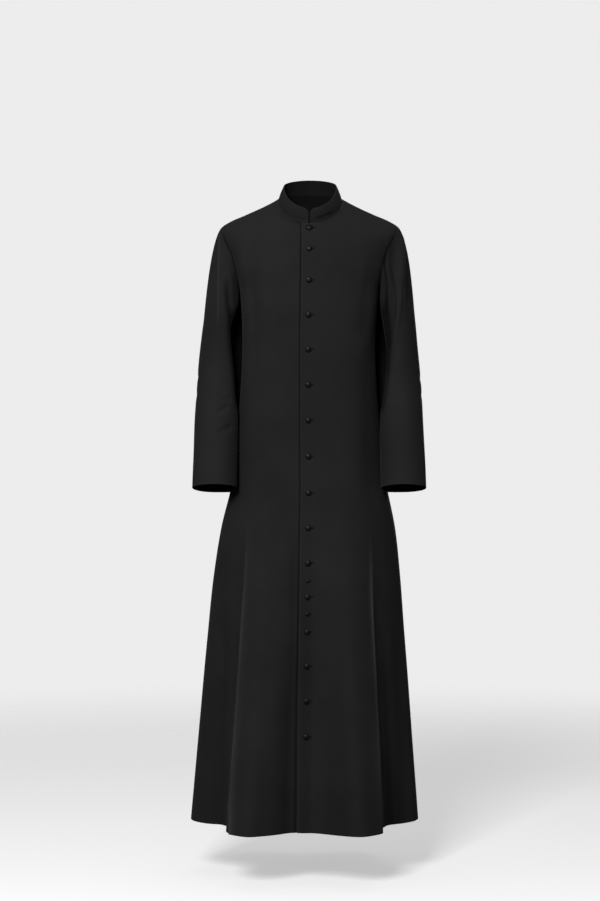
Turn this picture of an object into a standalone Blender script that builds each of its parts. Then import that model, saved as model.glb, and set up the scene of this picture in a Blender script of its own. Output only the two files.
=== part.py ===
"""Cassock: an ankle-length, button-fronted robe, as the hollow form that it keeps when it is worn.

Metres, +Z up. The origin is the middle of the neck opening, level with the neck seam at the side of the
neck. The front faces -Y, and the wearer's left is +X. Two fronts, one back, two sleeves, a standing collar
and a row of covered buttons are each a solid of their own, with a hair's gap at every seam.
"""

import math

import bpy
import numpy as np

MM = 0.001

# Driving dimensions, in metres unless the name says otherwise.
BODY_WALL = 1.6 * MM
COLLAR_WALL = 2.2 * MM
SEAM_GAP = 0.4 * MM
COLLAR_GAP = 0.6 * MM
ARMHOLE_GAP = 0.8 * MM

# The button stand: how far each front runs past the centre, and where the lower one rises to the surface.
OVERLAP_PAST_CENTRE = 20 * MM
UNDERLAP_PAST_CENTRE = 16 * MM
UNDERLAP_GAP = 1.1 * MM
UNDERLAP_FADE_DEG = (18, 37)

# The armhole is half an ellipse cut from each panel, as wide as these angles.
ARMHOLE_FRONT_DEG = 25
ARMHOLE_BACK_DEG = 21
ARMHOLE_STEPS = 8

# The standing collar: the slot between its ends, and how low each rounded front corner starts.
COLLAR_SLOT = 4.6 * MM
COLLAR_CORNER_DEG = 14.5
COLLAR_CORNER_MIDDLE_DEG = 8
COLLAR_CORNER_HEIGHT = 0.64
COLLAR_ROWS = 3

# How round the ridge along the side of the shoulder is, how narrowly the shoulder tip is drawn out, and the
# angle past which an edge is drawn sharp.
RIDGE_ROUNDING = 0.2
POINT_SHARPNESS = 8
SHARP_EDGE_DEG = 40

# The step for slopes, and how closely the body's level sections are searched for its side.
STEP = 1e-4
SEARCH_STATIONS = 300
SEARCH_ANGLES = 181

# Level sections of the body, from the hem to the neck seam. Heights are given at the side, the front and the
# back. point draws the side out to the shoulder tip, square fills a section out at 45 degrees, sway moves it
# sideways, and fold is how far the skirt's folds have opened.
RING_COLUMNS = (
    "side_z", "front_z", "back_z", "half_width", "point", "front", "back", "square", "sway", "fold",
)
RINGS = {
    "hem": (-1.4210, -1.4200, -1.4250, 0.2530, 0.000, 0.2620, 0.2620, 0.00, -0.0105, 1.00),
    "shin": (-1.2000, -1.1980, -1.2020, 0.2385, 0.000, 0.2220, 0.2220, 0.01, -0.0088, 0.64),
    "knee": (-1.0000, -1.0000, -1.0000, 0.2240, 0.000, 0.1870, 0.1880, 0.02, -0.0070, 0.34),
    "thigh": (-0.8600, -0.8600, -0.8600, 0.2128, 0.000, 0.1630, 0.1660, 0.03, -0.0052, 0.15),
    "seat": (-0.7500, -0.7500, -0.7500, 0.1985, 0.000, 0.1420, 0.1490, 0.03, -0.0025, 0.04),
    "hip": (-0.6500, -0.6500, -0.6500, 0.1770, 0.000, 0.1260, 0.1360, 0.03, 0.0000, 0.00),
    "belly": (-0.5500, -0.5500, -0.5500, 0.1660, 0.000, 0.1190, 0.1220, 0.03, 0.0000, 0.00),
    "waist": (-0.4300, -0.4300, -0.4300, 0.1565, 0.000, 0.1150, 0.1040, 0.03, 0.0000, 0.00),
    "ribs": (-0.3300, -0.3300, -0.3300, 0.1530, 0.000, 0.1170, 0.1050, 0.05, 0.0000, 0.00),
    "chest": (-0.2500, -0.2500, -0.2500, 0.1565, 0.000, 0.1210, 0.1120, 0.07, 0.0000, 0.00),
    "underarm": (-0.2000, -0.2080, -0.2030, 0.1615, 0.000, 0.1214, 0.1163, 0.09, 0.0000, 0.00),
    "armhole": (-0.1300, -0.1600, -0.1400, 0.1640, 0.020, 0.1183, 0.1187, 0.10, 0.0000, 0.00),
    "tip": (-0.0620, -0.1215, -0.0860, 0.1550, 0.043, 0.1078, 0.1075, 0.05, 0.0000, 0.00),
    "point": (-0.0515, -0.1125, -0.0730, 0.1470, 0.037, 0.1042, 0.1037, 0.04, 0.0000, 0.00),
    "shoulder": (-0.0335, -0.0925, -0.0425, 0.1270, 0.019, 0.0940, 0.0925, 0.01, 0.0000, 0.00),
    "slope": (-0.0138, -0.0720, -0.0075, 0.0970, 0.006, 0.0800, 0.0745, 0.00, 0.0000, 0.00),
    "neck": (0.0000, -0.0577, 0.0180, 0.0736, 0.000, 0.0670, 0.0560, 0.00, 0.0000, 0.00),
}
STEPS_ABOVE = {
    "hem": 3, "shin": 3, "knee": 2, "thigh": 2, "seat": 2, "hip": 1, "belly": 2, "waist": 1, "ribs": 1,
    "chest": 1, "tip": 1, "point": 1, "shoulder": 1, "slope": 1,
}

# The skirt's folds: how far the cloth stands out from the plain section at the hem, by degrees round.
FOLDS = {
    0: -0.0370, 5: -0.0365, 11: -0.0185, 18: 0.0150, 24: 0.0420, 31: 0.0380, 37: 0.0200, 43: -0.0060,
    49: -0.0270, 58: -0.0305, 71: -0.0130, 81: 0.0035, 90: 0.0085, 102: -0.0010, 114: -0.0230, 125: -0.0180,
    135: 0.0060, 144: 0.0270, 152: 0.0300, 160: 0.0130, 170: -0.0210, 180: -0.0300,
}

# Level sections of a sleeve from the upper arm to the cuff: middle, half sizes, and the tilt that lifts its
# front.
SLEEVE_COLUMNS = ("z", "x", "y", "half_x", "half_y", "tilt_deg")
SLEEVE = {
    "upper arm": (-0.2500, 0.1968, 0.010, 0.0447, 0.074, 0.0),
    "lower upper arm": (-0.3220, 0.1995, 0.011, 0.0495, 0.070, 1.0),
    "elbow": (-0.4140, 0.2038, -0.001, 0.0527, 0.068, 4.0),
    "forearm": (-0.5060, 0.2096, -0.033, 0.0516, 0.064, 7.0),
    "wrist": (-0.5980, 0.2128, -0.063, 0.0512, 0.059, 9.5),
    "cuff": (-0.6605, 0.2139, -0.084, 0.0513, 0.056, 10.6),
}
SLEEVE_STEPS_BELOW = {"upper arm": 1, "lower upper arm": 2, "elbow": 2, "forearm": 2, "wrist": 1}
SLEEVE_CLEARANCE = 2.2 * MM

# The sleeve's cap: the ways it leaves the armhole, how full its curve is, and how its rows crowd there.
CAP_LEAVES_TOP = (0.85, 0.0, -0.52)
CAP_LEAVES_UNDERARM = (0.64, 0.0, -0.77)
CAP_LEAVES_SIDEWAYS = 0.20
CAP_FULLNESS = 0.45
CAP_STEPS = 5
CAP_CROWDING = 1.3

# The collar's top edge, as a level section of its own.
COLLAR_TOP = {
    "side_z": 0.032, "front_z": -0.023, "back_z": 0.052, "half_width": 0.0607, "front": 0.062, "back": 0.050,
}

# The buttons, from the neck down.
BUTTON_COLUMNS = ("height", "diameter_mm")
BUTTONS = (
    (-0.0714, 12.5), (-0.1190, 14.0), (-0.1902, 14.0), (-0.2687, 14.0), (-0.3466, 14.0), (-0.4264, 14.0),
    (-0.5063, 14.0), (-0.5880, 14.0), (-0.6700, 14.0), (-0.7487, 14.0), (-0.8266, 15.0), (-0.8670, 8.0),
    (-0.9020, 13.5), (-0.9397, 10.5), (-0.9795, 13.0), (-1.0551, 13.5), (-1.1319, 13.5), (-1.2097, 13.5),
)

# A button's outline from the rim of its flat back to the top of its dome, as shares of its radius and height.
BUTTON_OUTLINE = ((0.82, 0.0), (1.0, 0.22), (0.97, 0.42), (0.78, 0.72), (0.42, 0.94))
BUTTON_HEIGHT = 0.34
BUTTON_SIDES = 12

BLACK_CLOTH = (0.0165, 0.0165, 0.0178, 1.0)
BLACK_BUTTON = (0.0140, 0.0140, 0.0150, 1.0)
CLOTH_ROUGHNESS = 0.92
BUTTON_ROUGHNESS = 0.75


def smooth(knots, values, at):
    """A cubic through the values, each row's slope that of the parabola through it and its neighbours."""
    knots = np.asarray(knots, float)
    values = np.asarray(values, float)
    step = np.diff(knots)
    slope = np.diff(values) / step
    inner = (step[:-1] * slope[1:] + step[1:] * slope[:-1]) / (step[:-1] + step[1:])
    tangent = np.concatenate([slope[:1], inner, slope[-1:]])
    span = np.clip(np.searchsorted(knots, at, side="right") - 1, 0, len(step) - 1)
    t = (at - knots[span]) / step[span]
    low = values[span] * (1 + 2 * t) * (1 - t) ** 2 + values[span + 1] * t * t * (3 - 2 * t)
    return low + step[span] * (tangent[span] * t * (1 - t) ** 2 - tangent[span + 1] * t * t * (1 - t))


def ring_stations():
    """Each ring's distance from the hem, measured up the side of the garment."""
    rings = [dict(zip(RING_COLUMNS, ring)) for ring in RINGS.values()]
    widths = np.array([ring["half_width"] + ring["point"] for ring in rings])
    heights = np.array([ring["side_z"] for ring in rings])
    return np.concatenate([[0], np.cumsum(np.hypot(np.diff(widths), np.diff(heights)))])


STATIONS = dict(zip(RINGS, ring_stations()))


def ring_point(angle, ring, reach=0.0):
    """The point of a level section at an angle from the front, positive towards +X, standing out by reach.

    The section is an ellipse whose front and back depths differ, filled out at 45 degrees. Its height leans
    from the back's to the front's with the cosine, and dips away from a rounded ridge along the side.
    """
    cos, sin = np.cos(angle), np.sin(angle)
    whole = math.hypot(1, RIDGE_ROUNDING) - RIDGE_ROUNDING
    ridge = (np.hypot(cos, RIDGE_ROUNDING) - RIDGE_ROUNDING) / whole
    fill = 1 + ring.get("square", 0) * np.sin(2 * angle) ** 2
    mean_depth = (ring["front"] + ring["back"]) / 2
    extra_front = (ring["front"] - ring["back"]) / 2
    forward = (mean_depth * cos + extra_front * cos**2) * fill + reach * cos
    drawn_out = ring.get("point", 0) * sin**POINT_SHARPNESS * np.sign(sin)
    across = ring["half_width"] * sin * fill + drawn_out + reach * sin + ring.get("sway", 0)
    lean = (ring["front_z"] - ring["back_z"]) / 2
    dip = (ring["front_z"] + ring["back_z"]) / 2 - ring["side_z"]
    height = ring["side_z"] + lean * cos + dip * ridge
    return np.stack(np.broadcast_arrays(across, -forward, height), axis=-1)


def fold_reach(angle):
    """How far the folds stand out at the hem. The table is mirrored about the front and about the back."""
    turns = list(FOLDS)
    knots = [-turns[1]] + turns + [360 - turns[-2]]
    reaches = [FOLDS[turns[1]]] + list(FOLDS.values()) + [FOLDS[turns[-2]]]
    return smooth(knots, reaches, np.abs((np.degrees(angle) + 180) % 360 - 180))


def body_point(angle, station):
    """The outer face of the body at an angle from the front and a distance up from the hem."""
    knots = list(STATIONS.values())
    columns = zip(*RINGS.values())
    ring = {name: smooth(knots, column, station) for name, column in zip(RING_COLUMNS, columns)}
    return ring_point(angle, ring, ring["fold"] * fold_reach(angle))


def unit(vectors):
    return vectors / np.linalg.norm(vectors, axis=-1, keepdims=True)


def body_normal(angle, station):
    """The outward normal there, from the surface's two slopes."""
    station = np.clip(station, STEP, STATIONS["neck"] - STEP)
    around = body_point(angle + STEP, station) - body_point(angle - STEP, station)
    upward = body_point(angle, station + STEP) - body_point(angle, station - STEP)
    return unit(np.cross(around, upward))


def body_stations():
    """The rows of the body's panels: closer at the two ends of the armhole, where its edge turns."""
    names = list(STATIONS)
    rows = []
    for low, high in zip(names, names[1:]):
        if low == "underarm":
            rows += list(armhole_stations()[:-1])
        elif low != "armhole":
            rows += list(np.linspace(STATIONS[low], STATIONS[high], STEPS_ABOVE[low], endpoint=False))
    return np.array(rows + [STATIONS["neck"]])


def armhole_stations():
    """The armhole's rows from the underarm to the shoulder tip, evenly spaced round half a circle."""
    quarter = np.linspace(0, math.pi, ARMHOLE_STEPS + 1)
    middle = (STATIONS["tip"] + STATIONS["underarm"]) / 2
    return middle - (STATIONS["tip"] - STATIONS["underarm"]) / 2 * np.cos(quarter)


def side_angle(station, opening_deg):
    """Where a front or back panel ends: at the side, or short of it by the half ellipse of the armhole."""
    middle = (STATIONS["tip"] + STATIONS["underarm"]) / 2
    half = (STATIONS["tip"] - STATIONS["underarm"]) / 2
    across = np.clip(1 - ((station - middle) / half) ** 2, 0, None)
    angle = math.pi / 2 - math.radians(opening_deg) * np.sqrt(across)
    around = body_point(angle + STEP, station) - body_point(angle - STEP, station)
    return angle - SEAM_GAP / 2 * 2 * STEP / np.linalg.norm(around, axis=-1)


def past_centre(station, distance):
    """The angle at which the body's face is this far sideways from the centre front."""
    speed = (body_point(STEP, station) - body_point(-STEP, station))[..., 0] / (2 * STEP)
    return distance / speed


def front_grid(side, past, drop):
    """A front panel's two faces. side is 1 for +X, and drop sinks its edge under the other front."""
    stations = body_stations()
    end = side_angle(stations, ARMHOLE_FRONT_DEG)
    columns = np.array([angle for angle in FOLDS if angle <= 90]) / 90
    before = [-past_centre(stations, past), -past_centre(stations, past / 2)]
    angles = np.column_stack(before + [end[:, None] * columns]) * side
    station = np.repeat(stations[:, None], angles.shape[1], axis=1)
    start, finish = UNDERLAP_FADE_DEG
    fade = np.clip((finish - np.degrees(angles) * side) / (finish - start), 0, 1)
    outer = body_point(angles, station)
    normal = body_normal(angles, station)
    outer = outer - normal * (drop * fade * fade * (3 - 2 * fade))[..., None]
    return outer[:, ::side], outer[:, ::side] - BODY_WALL * normal[:, ::side]


def back_grid():
    """The back panel's two faces, from the +X side seam round to the -X one."""
    stations = body_stations()
    end = side_angle(stations, ARMHOLE_BACK_DEG)
    columns = np.array([angle for angle in FOLDS if angle >= 90])
    share = (180 - columns) / 90
    half = math.pi - end[:, None] * share
    angles = np.column_stack([half, 2 * math.pi - half[:, -2::-1]])
    station = np.repeat(stations[:, None], angles.shape[1], axis=1)
    outer = body_point(angles, station)
    return outer, outer - BODY_WALL * body_normal(angles, station)


def body_side(y, z):
    """How far out, towards +X, the body's face lies at this depth and height, found on its level sections."""
    stations = np.linspace(0, STATIONS["underarm"], SEARCH_STATIONS)
    angles = np.linspace(0, math.pi, SEARCH_ANGLES)
    side_z = body_point(math.pi / 2, stations)[:, 2]
    found = np.zeros_like(y)
    for place in np.ndindex(y.shape):
        section = body_point(angles, np.interp(z[place], side_z, stations))
        found[place] = np.interp(y[place], section[:, 1], section[:, 0])
    return found


def armhole_loop():
    """The edge of the +X armhole, from the shoulder tip down its front and up its back."""
    stations = armhole_stations()[::-1]
    front = body_point(side_angle(stations, ARMHOLE_FRONT_DEG), stations)
    back = body_point(math.pi - side_angle(stations, ARMHOLE_BACK_DEG), stations)
    tip = (front[0] + back[0]) / 2
    underarm = (front[-1] + back[-1]) / 2
    return np.vstack([tip, front[1:-1], underarm, back[-2:0:-1]])


def sleeve_rings():
    """The sleeve's rings below its cap, from the upper arm to the cuff."""
    names = list(SLEEVE)
    table = dict(zip(SLEEVE_COLUMNS, np.array(list(SLEEVE.values())).T))
    heights = []
    for low, high in zip(names, names[1:]):
        steps = SLEEVE_STEPS_BELOW[low]
        heights += list(np.linspace(SLEEVE[low][0], SLEEVE[high][0], steps, endpoint=False))
    drop = -np.array(heights + [table["z"][-1]])[:, None]
    arm = {name: smooth(-table["z"], column, drop) for name, column in table.items()}
    turn = np.linspace(0, 2 * math.pi, 2 * ARMHOLE_STEPS, endpoint=False)[None, :]
    across = arm["x"] + arm["half_x"] * np.cos(turn)
    depth = arm["y"] - arm["half_y"] * np.sin(turn)
    height = arm["z"] + arm["half_y"] * np.sin(turn) * np.tan(np.radians(arm["tilt_deg"]))
    across = np.maximum(across, body_side(depth, height) + SLEEVE_CLEARANCE)
    return np.stack([across, depth, height], axis=-1)


def sleeve_grid():
    """The +X sleeve's two faces: a cap that leaves the armhole and turns down, then the arm's rings."""
    edge = armhole_loop()
    rings = sleeve_rings()
    turn = np.linspace(0, 2 * math.pi, 2 * ARMHOLE_STEPS, endpoint=False)[:, None]
    top = (1 + np.cos(turn)) / 2
    leaves = top * CAP_LEAVES_TOP + (1 - top) * CAP_LEAVES_UNDERARM
    leaves[:, 1] -= CAP_LEAVES_SIDEWAYS * np.sin(turn[:, 0])
    leaves = unit(leaves)
    start = edge + ARMHOLE_GAP * leaves
    reach = np.linalg.norm(rings[0] - start, axis=1, keepdims=True)
    arrives = unit(rings[1] - rings[0])
    cap = []
    for t in np.linspace(0, 1, CAP_STEPS, endpoint=False) ** CAP_CROWDING:
        from_edge = start * (1 + 2 * t) * (1 - t) ** 2 + leaves * reach * CAP_FULLNESS * t * (1 - t) ** 2
        to_ring = rings[0] * t * t * (3 - 2 * t) - arrives * reach * t * t * (1 - t)
        cap.append(from_edge + to_ring)
    outer = np.concatenate([np.array(cap), rings])[::-1, ::-1]
    around = np.roll(outer, -1, axis=1) - np.roll(outer, 1, axis=1)
    normal = unit(np.cross(around, np.gradient(outer, axis=0)))
    return outer, outer - BODY_WALL * normal


def collar_grid():
    """The standing band's two faces, from the neck ring to its top ring, with rounded front corners."""
    neck = dict(zip(RING_COLUMNS, RINGS["neck"]))
    end = math.degrees(COLLAR_SLOT / 2 / neck["half_width"])
    corner = [end, COLLAR_CORNER_MIDDLE_DEG, COLLAR_CORNER_DEG]
    columns = sorted(corner + [angle for angle in FOLDS if angle > 0])
    angles = np.radians(columns + [360 - angle for angle in columns[-2::-1]])
    from_end = np.degrees(math.pi - np.abs(angles - math.pi))
    rounding = np.clip((COLLAR_CORNER_DEG - from_end) / (COLLAR_CORNER_DEG - end), 0, 1)
    height = COLLAR_CORNER_HEIGHT + (1 - COLLAR_CORNER_HEIGHT) * np.sqrt(1 - rounding**2)
    base = ring_point(angles, neck) + [0, 0, COLLAR_GAP]
    top = ring_point(angles, COLLAR_TOP)
    share = np.linspace(0, 1, COLLAR_ROWS)[:, None] * height
    outer = base + (top - base) * share[..., None]
    normal = unit(np.cross(np.gradient(outer, axis=1), top - base))
    return outer, outer - COLLAR_WALL * normal


def material(name, colour, roughness):
    made = bpy.data.materials.new(name)
    made.use_nodes = True
    shader = made.node_tree.nodes["Principled BSDF"]
    shader.inputs["Base Color"].default_value = colour
    shader.inputs["Roughness"].default_value = roughness
    shader.inputs["Metallic"].default_value = 0.0
    made.diffuse_color = colour
    return made


def add_piece(name, points, faces, colour, roughness):
    mesh = bpy.data.meshes.new(name)
    mesh.from_pydata([tuple(point) for point in points], [], faces)
    mesh.validate()
    mesh.shade_smooth()
    mesh.set_sharp_from_angle(angle=math.radians(SHARP_EDGE_DEG))
    mesh.materials.append(material(name, colour, roughness))
    piece = bpy.data.objects.new(name, mesh)
    bpy.context.scene.collection.objects.link(piece)
    return piece


def add_cloth(name, outer, inner, tube=False):
    """A wall of cloth between two grids of points, closed along its edges. A tube's columns meet round it."""
    rows, columns = outer.shape[:2]
    face = np.arange(rows * columns).reshape(rows, columns)
    if tube:
        face = np.column_stack([face, face[:, 0]])
    back = face + rows * columns
    faces = []
    for low, high in zip(range(rows - 1), range(1, rows)):
        for left, right in zip(range(face.shape[1] - 1), range(1, face.shape[1])):
            faces.append((face[low, left], face[low, right], face[high, right], face[high, left]))
            faces.append((back[low, left], back[high, left], back[high, right], back[low, right]))
    rims = [(face[0], back[0]), (back[-1], face[-1])]
    if not tube:
        rims += [(back[:, 0], face[:, 0]), (face[:, -1], back[:, -1])]
    for near, far in rims:
        faces += [(near[i], far[i], far[i + 1], near[i + 1]) for i in range(len(near) - 1)]
    faces = [tuple(int(corner) for corner in corners) for corners in faces]
    points = np.vstack([outer.reshape(-1, 3), inner.reshape(-1, 3)])
    return add_piece(name, points, faces, BLACK_CLOTH, CLOTH_ROUGHNESS)


def placket_seat(height):
    """Where the placket's centre line passes this height, and the way its cloth faces there."""
    stations = body_stations()
    line = body_point(np.zeros_like(stations), stations)
    above = int(np.searchsorted(line[:, 2], height))
    rise = line[above] - line[above - 1]
    seat = line[above - 1] + rise * (height - line[above - 1, 2]) / rise[2]
    return seat, unit(np.cross([1.0, 0.0, 0.0], rise))


def add_button(name, height, diameter):
    """A covered button: a low dome turned about the placket's normal, its flat back just off the cloth."""
    seat, normal = placket_seat(height)
    seat = seat + normal * SEAM_GAP
    rise = normal * BUTTON_HEIGHT * diameter
    across = np.array([1.0, 0.0, 0.0])
    up = np.cross(normal, across)
    turns = np.linspace(0, 2 * math.pi, BUTTON_SIDES, endpoint=False)[:, None]
    spokes = (across * np.cos(turns) + up * np.sin(turns)) * diameter / 2
    rings = [seat + spokes * width + rise * share for width, share in BUTTON_OUTLINE]
    points = np.vstack([[seat], *rings, [seat + rise]])
    first_of_top = 1 + (len(rings) - 1) * BUTTON_SIDES
    faces = []
    for i in range(BUTTON_SIDES):
        j = (i + 1) % BUTTON_SIDES
        faces.append((0, 1 + j, 1 + i))
        faces.append((first_of_top + i, first_of_top + j, len(points) - 1))
        for low in range(1, first_of_top, BUTTON_SIDES):
            faces.append((low + i, low + j, low + BUTTON_SIDES + j, low + BUTTON_SIDES + i))
    return add_piece(name, points, faces, BLACK_BUTTON, BUTTON_ROUGHNESS)


def mirrored(grid):
    """The same grid for -X, with its columns turned round so that its faces still point out."""
    return (grid * [-1, 1, 1])[:, ::-1]


def main():
    for item in list(bpy.data.objects):
        bpy.data.objects.remove(item, do_unlink=True)
    add_cloth("front_left", *front_grid(1, OVERLAP_PAST_CENTRE, 0.0))
    add_cloth("front_right", *front_grid(-1, UNDERLAP_PAST_CENTRE, BODY_WALL + UNDERLAP_GAP))
    add_cloth("back", *back_grid())
    outer, inner = sleeve_grid()
    add_cloth("sleeve_left", outer, inner, tube=True)
    add_cloth("sleeve_right", mirrored(outer), mirrored(inner), tube=True)
    add_cloth("collar", *collar_grid())
    for number, row in enumerate(BUTTONS, start=1):
        button = dict(zip(BUTTON_COLUMNS, row))
        add_button(f"button_{number:02d}", button["height"], button["diameter_mm"] * MM)


main()
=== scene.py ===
"""Cassock: the finished look of an ankle-length robe in black wool, hanging as it is worn.

Metres, +Z up. The front faces -Y and the wearer's left is +X. Every panel is a thin shell on a grid of two
parameters, with its folds and creases worked in before it gets its thickness.
"""

import math

import bpy
import numpy as np
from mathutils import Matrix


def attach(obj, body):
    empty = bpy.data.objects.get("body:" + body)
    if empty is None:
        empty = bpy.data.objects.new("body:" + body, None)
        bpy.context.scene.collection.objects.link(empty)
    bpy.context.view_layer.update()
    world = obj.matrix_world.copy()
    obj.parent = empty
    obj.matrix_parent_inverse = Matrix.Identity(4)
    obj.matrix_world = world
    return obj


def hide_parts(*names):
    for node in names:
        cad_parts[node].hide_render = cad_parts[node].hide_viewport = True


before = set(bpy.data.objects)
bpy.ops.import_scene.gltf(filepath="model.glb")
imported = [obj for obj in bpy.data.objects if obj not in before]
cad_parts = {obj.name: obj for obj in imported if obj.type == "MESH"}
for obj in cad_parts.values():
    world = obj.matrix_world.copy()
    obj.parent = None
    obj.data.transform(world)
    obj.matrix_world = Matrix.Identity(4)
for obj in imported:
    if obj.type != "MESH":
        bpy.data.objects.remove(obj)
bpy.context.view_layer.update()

bl_info = {
    "name": "Cassock",
    "version": (1, 0, 0),
    "blender": (4, 5, 0),
    "location": "3D View > Sidebar > Cassock",
    "description": "An ankle-length robe with a standing collar and a row of covered buttons",
    "category": "Add Mesh",
}

MM = 0.001
BODY = "root"
STEP = 1e-4

# Level sections of the body, from the hem to the neck seam. Heights are given at the side, the front and the back.
RING_COLUMNS = ("side_z", "front_z", "back_z", "half_width", "point", "front", "back", "square", "sway", "fold")
RINGS = {
    "hem": (-1.4210, -1.4200, -1.4250, 0.2530, 0.000, 0.2620, 0.2620, 0.00, -0.0105, 1.00),
    "shin": (-1.2000, -1.1980, -1.2020, 0.2385, 0.000, 0.2220, 0.2220, 0.01, -0.0088, 0.64),
    "knee": (-1.0000, -1.0000, -1.0000, 0.2240, 0.000, 0.1870, 0.1880, 0.02, -0.0070, 0.34),
    "thigh": (-0.8600, -0.8600, -0.8600, 0.2128, 0.000, 0.1630, 0.1660, 0.03, -0.0052, 0.15),
    "seat": (-0.7500, -0.7500, -0.7500, 0.1985, 0.000, 0.1420, 0.1490, 0.03, -0.0025, 0.04),
    "hip": (-0.6500, -0.6500, -0.6500, 0.1770, 0.000, 0.1260, 0.1360, 0.03, 0.0000, 0.00),
    "belly": (-0.5500, -0.5500, -0.5500, 0.1660, 0.000, 0.1190, 0.1220, 0.06, 0.0000, 0.00),
    "waist": (-0.4300, -0.4300, -0.4300, 0.1565, 0.000, 0.1150, 0.1040, 0.10, 0.0000, 0.00),
    "ribs": (-0.3300, -0.3300, -0.3300, 0.1530, 0.000, 0.1170, 0.1050, 0.12, 0.0000, 0.00),
    "chest": (-0.2500, -0.2500, -0.2500, 0.1565, 0.000, 0.1210, 0.1120, 0.115, 0.0000, 0.00),
    "underarm": (-0.2000, -0.2080, -0.2030, 0.1615, 0.000, 0.1214, 0.1163, 0.09, 0.0000, 0.00),
    "armhole": (-0.1300, -0.1600, -0.1400, 0.1640, 0.020, 0.1183, 0.1187, 0.10, 0.0000, 0.00),
    "tip": (-0.0592, -0.1205, -0.0845, 0.1558, 0.0445, 0.1078, 0.1075, 0.05, 0.0000, 0.00),
    "point": (-0.0501, -0.1120, -0.0722, 0.1474, 0.0380, 0.1042, 0.1037, 0.04, 0.0000, 0.00),
    "shoulder": (-0.0329, -0.0924, -0.0422, 0.1271, 0.0193, 0.0940, 0.0925, 0.01, 0.0000, 0.00),
    "slope": (-0.0138, -0.0720, -0.0075, 0.0970, 0.006, 0.0800, 0.0745, 0.00, 0.0000, 0.00),
    "neck": (0.0000, -0.0577, 0.0180, 0.0736, 0.000, 0.0670, 0.0560, 0.00, 0.0000, 0.00),
}
RIDGE_ROUNDING = 0.2
POINT_SHARPNESS = 8

# The skirt's folds: how far the cloth stands out from the plain section at the hem, by degrees from the front.
FOLDS = {
    0: -0.0370, 5: -0.0365, 11: -0.0185, 18: 0.0150, 24: 0.0420, 31: 0.0400, 37: 0.0275, 43: 0.0010,
    49: -0.0270, 58: -0.0305, 71: -0.0130, 81: 0.0035, 90: 0.0085, 102: -0.0010, 114: -0.0230, 125: -0.0180,
    135: 0.0060, 144: 0.0270, 152: 0.0300, 160: 0.0130, 170: -0.0210, 180: -0.0300,
}
UNDERLAP_FADE_DEG = (18, 37)
ARMHOLE_FRONT_DEG = {1: 25.5, -1: 17}
ARMHOLE_BACK_DEG = 21
ARMHOLE_NARROWS = 0.12
ARMHOLE_GAP = -0.5 * MM

# Level sections of a sleeve from the upper arm to the cuff.
SLEEVE_COLUMNS = ("z", "x", "y", "half_x", "half_y", "tilt_deg")
SLEEVE = {
    "upper arm": (-0.2500, 0.1968, 0.010, 0.0447, 0.074, 0.0),
    "lower upper arm": (-0.3220, 0.1995, 0.011, 0.0495, 0.070, 1.0),
    "elbow": (-0.4140, 0.2038, -0.001, 0.0527, 0.068, 4.0),
    "forearm": (-0.5060, 0.2096, -0.033, 0.0516, 0.064, 7.0),
    "wrist": (-0.5980, 0.2128, -0.063, 0.0512, 0.059, 9.5),
    "cuff": (-0.6605, 0.2139, -0.084, 0.0513, 0.056, 10.6),
}
SLEEVE_CLEARANCE = -0.5 * MM
SLEEVE_SOFTNESS = 1.2 * MM

# The hollow between a sleeve and the trunk: how far the sleeve's inner side stands off, on each side, in
# millimetres.
HOLLOW_COLUMNS = ("z", "right_mm", "left_mm")
HOLLOW = (
    (-0.140, 0, 0), (-0.190, 0, 0), (-0.240, 4, 5), (-0.290, 24, 16), (-0.340, 24, 25), (-0.400, 16, 22.5),
    (-0.450, 9.5, 13), (-0.520, 3.5, 4.5), (-0.600, -1, -1), (-0.680, -1, -1),
)
HOLLOW_SOFTNESS = 2.5 * MM
HOLLOW_WHOLE_GAP = 9 * MM
# Painted shade: HOLLOW_SHADE darkens the sleeve's side deep in the hollow and along the armhole seam, INSIDE_SHADE
# darkens every inner face, DARKEST_TONE is the lowest tone, and SEAM_SHADE and SEAM_SHADE_REACH set the seam's
# darkening.
HOLLOW_SHADE = 0.95
INSIDE_SHADE = 0.8
DARKEST_TONE = -1.05
SEAM_SHADE = 1.6
SEAM_SHADE_REACH = 4.2 * MM
CAP_LEAVES_TOP = (0.85, 0.0, -0.52)
CAP_LEAVES_UNDERARM = (0.0, 0.0, -1.0)
CAP_LEAVES_SIDEWAYS = 0.20
CAP_FULLNESS = 0.45
CAP_CROWDING = 1.3

COLLAR_SLOT = 4.6 * MM
COLLAR_GAP = -1.0 * MM
COLLAR_CORNER_DEG = 14.5
COLLAR_CORNER_HEIGHT = 0.64
COLLAR_SWELL = 0.8 * MM
COLLAR_TOP = {
    "side_z": 0.032, "front_z": -0.023, "back_z": 0.052, "half_width": 0.0607, "front": 0.062, "back": 0.050,
}

# The line of buttons: how far it stands from the middle above and below the hips, and the heights between which
# it changes over.
BUTTON_LINE = (-2.2 * MM, 2.1 * MM)
BUTTON_LINE_TURNS = (-0.55, -0.90)
BUTTON_GATHERS = 12
BUTTON_LIFT = 0.6 * MM
BUTTON_COLUMNS = ("height", "diameter_mm")
BUTTONS = (
    (-0.0695, 16.5), (-0.1190, 14.0), (-0.1902, 14.0), (-0.2687, 14.0), (-0.3466, 14.0), (-0.4264, 14.0),
    (-0.5063, 14.0), (-0.5880, 14.0), (-0.6700, 14.0), (-0.7487, 14.0), (-0.8266, 15.0), (-0.8670, 8.0),
    (-0.9020, 13.5), (-0.9397, 10.5), (-0.9795, 13.0), (-1.0551, 13.5), (-1.1319, 13.5), (-1.2097, 13.5),
)
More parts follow.
